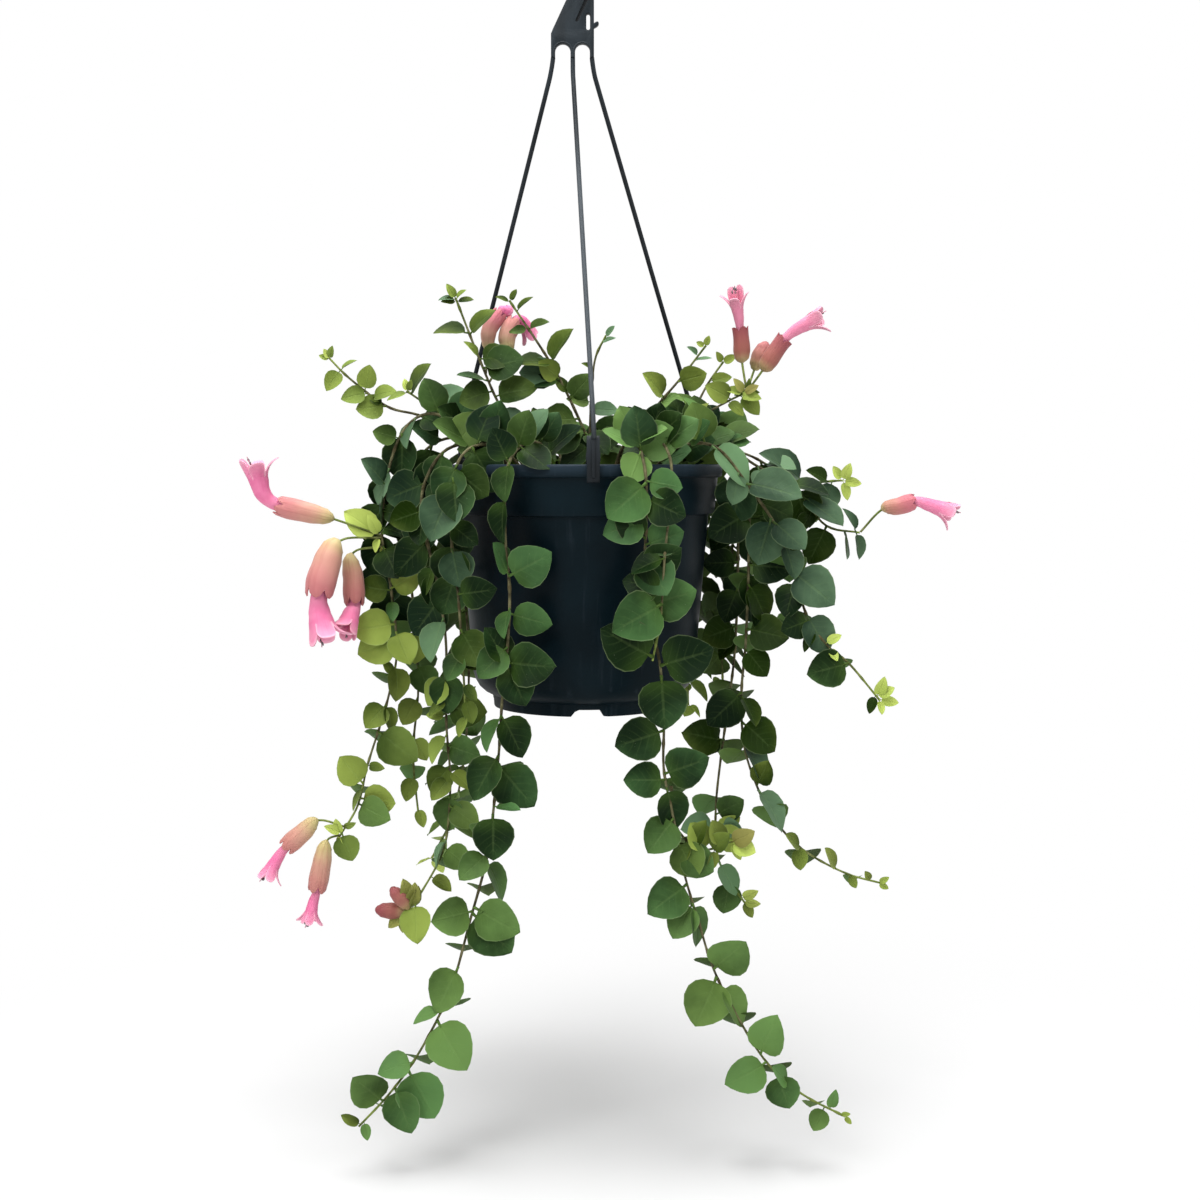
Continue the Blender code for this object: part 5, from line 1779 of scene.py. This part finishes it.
def build_flower(name, number, trees, blades, finishes):
    """Stalk, calyx, corolla, stamens and the young bracts at the foot."""
    vine, points, radius, tints, hood, girth, lobes, opening, bracts = FLOWERS[name]
    spine = Spine(seated(points, vine), hood)
    chance = random.Random(FLOWER_SEED + number)
    _, base, _, mouth, _, _ = spine.marks
    build_stalk(name, spine, base + 0.01, trees["stem"], finishes["stem"])
    steps = CALYX_STEPS_UP if tints[0] > 0.8 else CALYX_STEPS
    build_calyx(f"{name}_calyx", spine, base, mouth, steps, radius, tints, finishes["calyx"])
    build_corolla(name, f"{name}_petals", spine, girth, lobes, opening, tints[0], finishes["petal"])
    if opening > 0.5:
        build_stamens(name, spine, lobes[0] + 1.5, trees["stem"], finishes["stamen"], chance)
    if bracts:
        build_bracts(name, spine.at(0.02), bracts, trees["leaf"], blades, finishes["leaf"], chance)


def build_bud(name, number, trees, blades, finishes):
    """A closed calyx on its stalk, with bracts."""
    vine, points, radius, tints, bracts = BUDS[name]
    spine = Spine(seated(points, vine), (0.0, 0.3, 1.0))
    build_stalk(name, spine, spine.marks[1] + 0.02, trees["stem"], finishes["stem"])
    build_calyx(name, spine, spine.marks[1], 1.0, BUD_STEPS, radius, tints, finishes["calyx"])
    if bracts:
        chance = random.Random(BUD_SEED + number)
        build_bracts(name, spine.at(spine.marks[1]), bracts, trees["leaf"], blades, finishes["leaf"], chance)


# ---- stage (metres) ----

FLOOR_HALF = 6.0
FLOOR_GAP = 0.026           # from the plant's lowest point down to the floor
LIT_PLACE = Vector((0.0, 0.0, -0.38))
LAMPS = {                   # place, size and power
    "key_light": ((-0.8, -1.3, 0.7), 1.0, 19.0),
    "fill_light": ((1.2, -1.0, 0.1), 1.2, 6.0),
    "top_light": ((-0.02, -0.1, 0.9), 1.3, 31.0),
}
CAMERA_PLACE = (0.0087, -0.9, -0.295)
CAMERA_PITCH = 4.7          # degrees below level


def build_stage():
    """A pale paper floor, even soft light from all round, and three round lamps."""
    floor_z = cad_box[0].z - FLOOR_GAP
    corners = [(x * FLOOR_HALF, y * FLOOR_HALF, floor_z) for x, y in ((-1, -1), (1, -1), (1, 1), (-1, 1))]
    floor = linked("floor", mesh_from("floor", corners, [(0, 1, 2, 3)]))
    floor.data.materials.append(material("floor_paper", paint_floor))
    world_light = bpy.data.worlds.new("studio")
    world_light.use_nodes = True
    g = Graph(world_light.node_tree)
    seen = seen_directly(g)
    soft = g.add("ShaderNodeBackground", None, {"Color": (1.0, 1.0, 1.0), "Strength": 0.35})
    white = g.add("ShaderNodeBackground", None, {"Color": (1.0, 1.0, 1.0), "Strength": 1.0})
    shader = g.add("ShaderNodeMixShader", None, {0: seen, 1: soft, 2: white})
    g.add("ShaderNodeOutputWorld", None, {"Surface": shader})
    bpy.context.scene.world = world_light
    for name, (place, size, power) in LAMPS.items():
        lamp = bpy.data.lights.new(name, "AREA")
        lamp.shape = "DISK"
        lamp.size = size
        lamp.energy = power
        obj = linked(name, lamp)
        obj.location = place
        obj.rotation_euler = (LIT_PLACE - obj.location).to_track_quat("-Z", "Y").to_euler()


def build_camera():
    """The view from the front, a little above the pot's middle."""
    lens = bpy.data.cameras.new("camera")
    lens.sensor_width = 36.0
    lens.lens = 49.5
    camera = linked("camera", lens)
    camera.location = CAMERA_PLACE
    camera.rotation_euler = (math.radians(90.0 - CAMERA_PITCH), 0.0, 0.0)
    bpy.context.scene.camera = camera


def main():
    bpy.context.scene.view_settings.view_transform = "Standard"
    finishes = {
        "pot": material("pot_plastic_satin", paint_pot),
        "hanger": material("hanger_plastic_slate", paint_hanger),
        "mix": material("damp_peat", paint_mix),
        "leaf": material("leaf_wax", paint_leaf),
        "stem": material("stem_bark", paint_stem),
        "calyx": material("calyx_down", paint_calyx),
        "petal": material("petal_velvet", paint_petal),
        "stamen": material("stamen_thread", paint_stamen),
    }
    trees = {"stem": stem_tree(), "leaf": leaf_tree(), "crumb": crumb_tree()}
    blades = bpy.data.collections.new("blades")
    for name in BLADES:
        build_blade(name, blades)
    build_pot(finishes["pot"])
    build_potting_mix(finishes["mix"], trees["crumb"])
    build_head(finishes["hanger"], trees["stem"])
    for name in LEG_AZIMUTHS:
        build_leg(name, finishes["hanger"], trees["stem"])
    for number, name in enumerate([*VINES, *SHOOTS]):
        build_vine(name, number, trees, blades, finishes)
    for number, name in enumerate(FLOWERS):
        build_flower(name, number, trees, blades, finishes)
    for number, name in enumerate(BUDS):
        build_bud(name, number, trees, blades, finishes)
    discard(blades)
    build_stage()
    build_camera()


main()
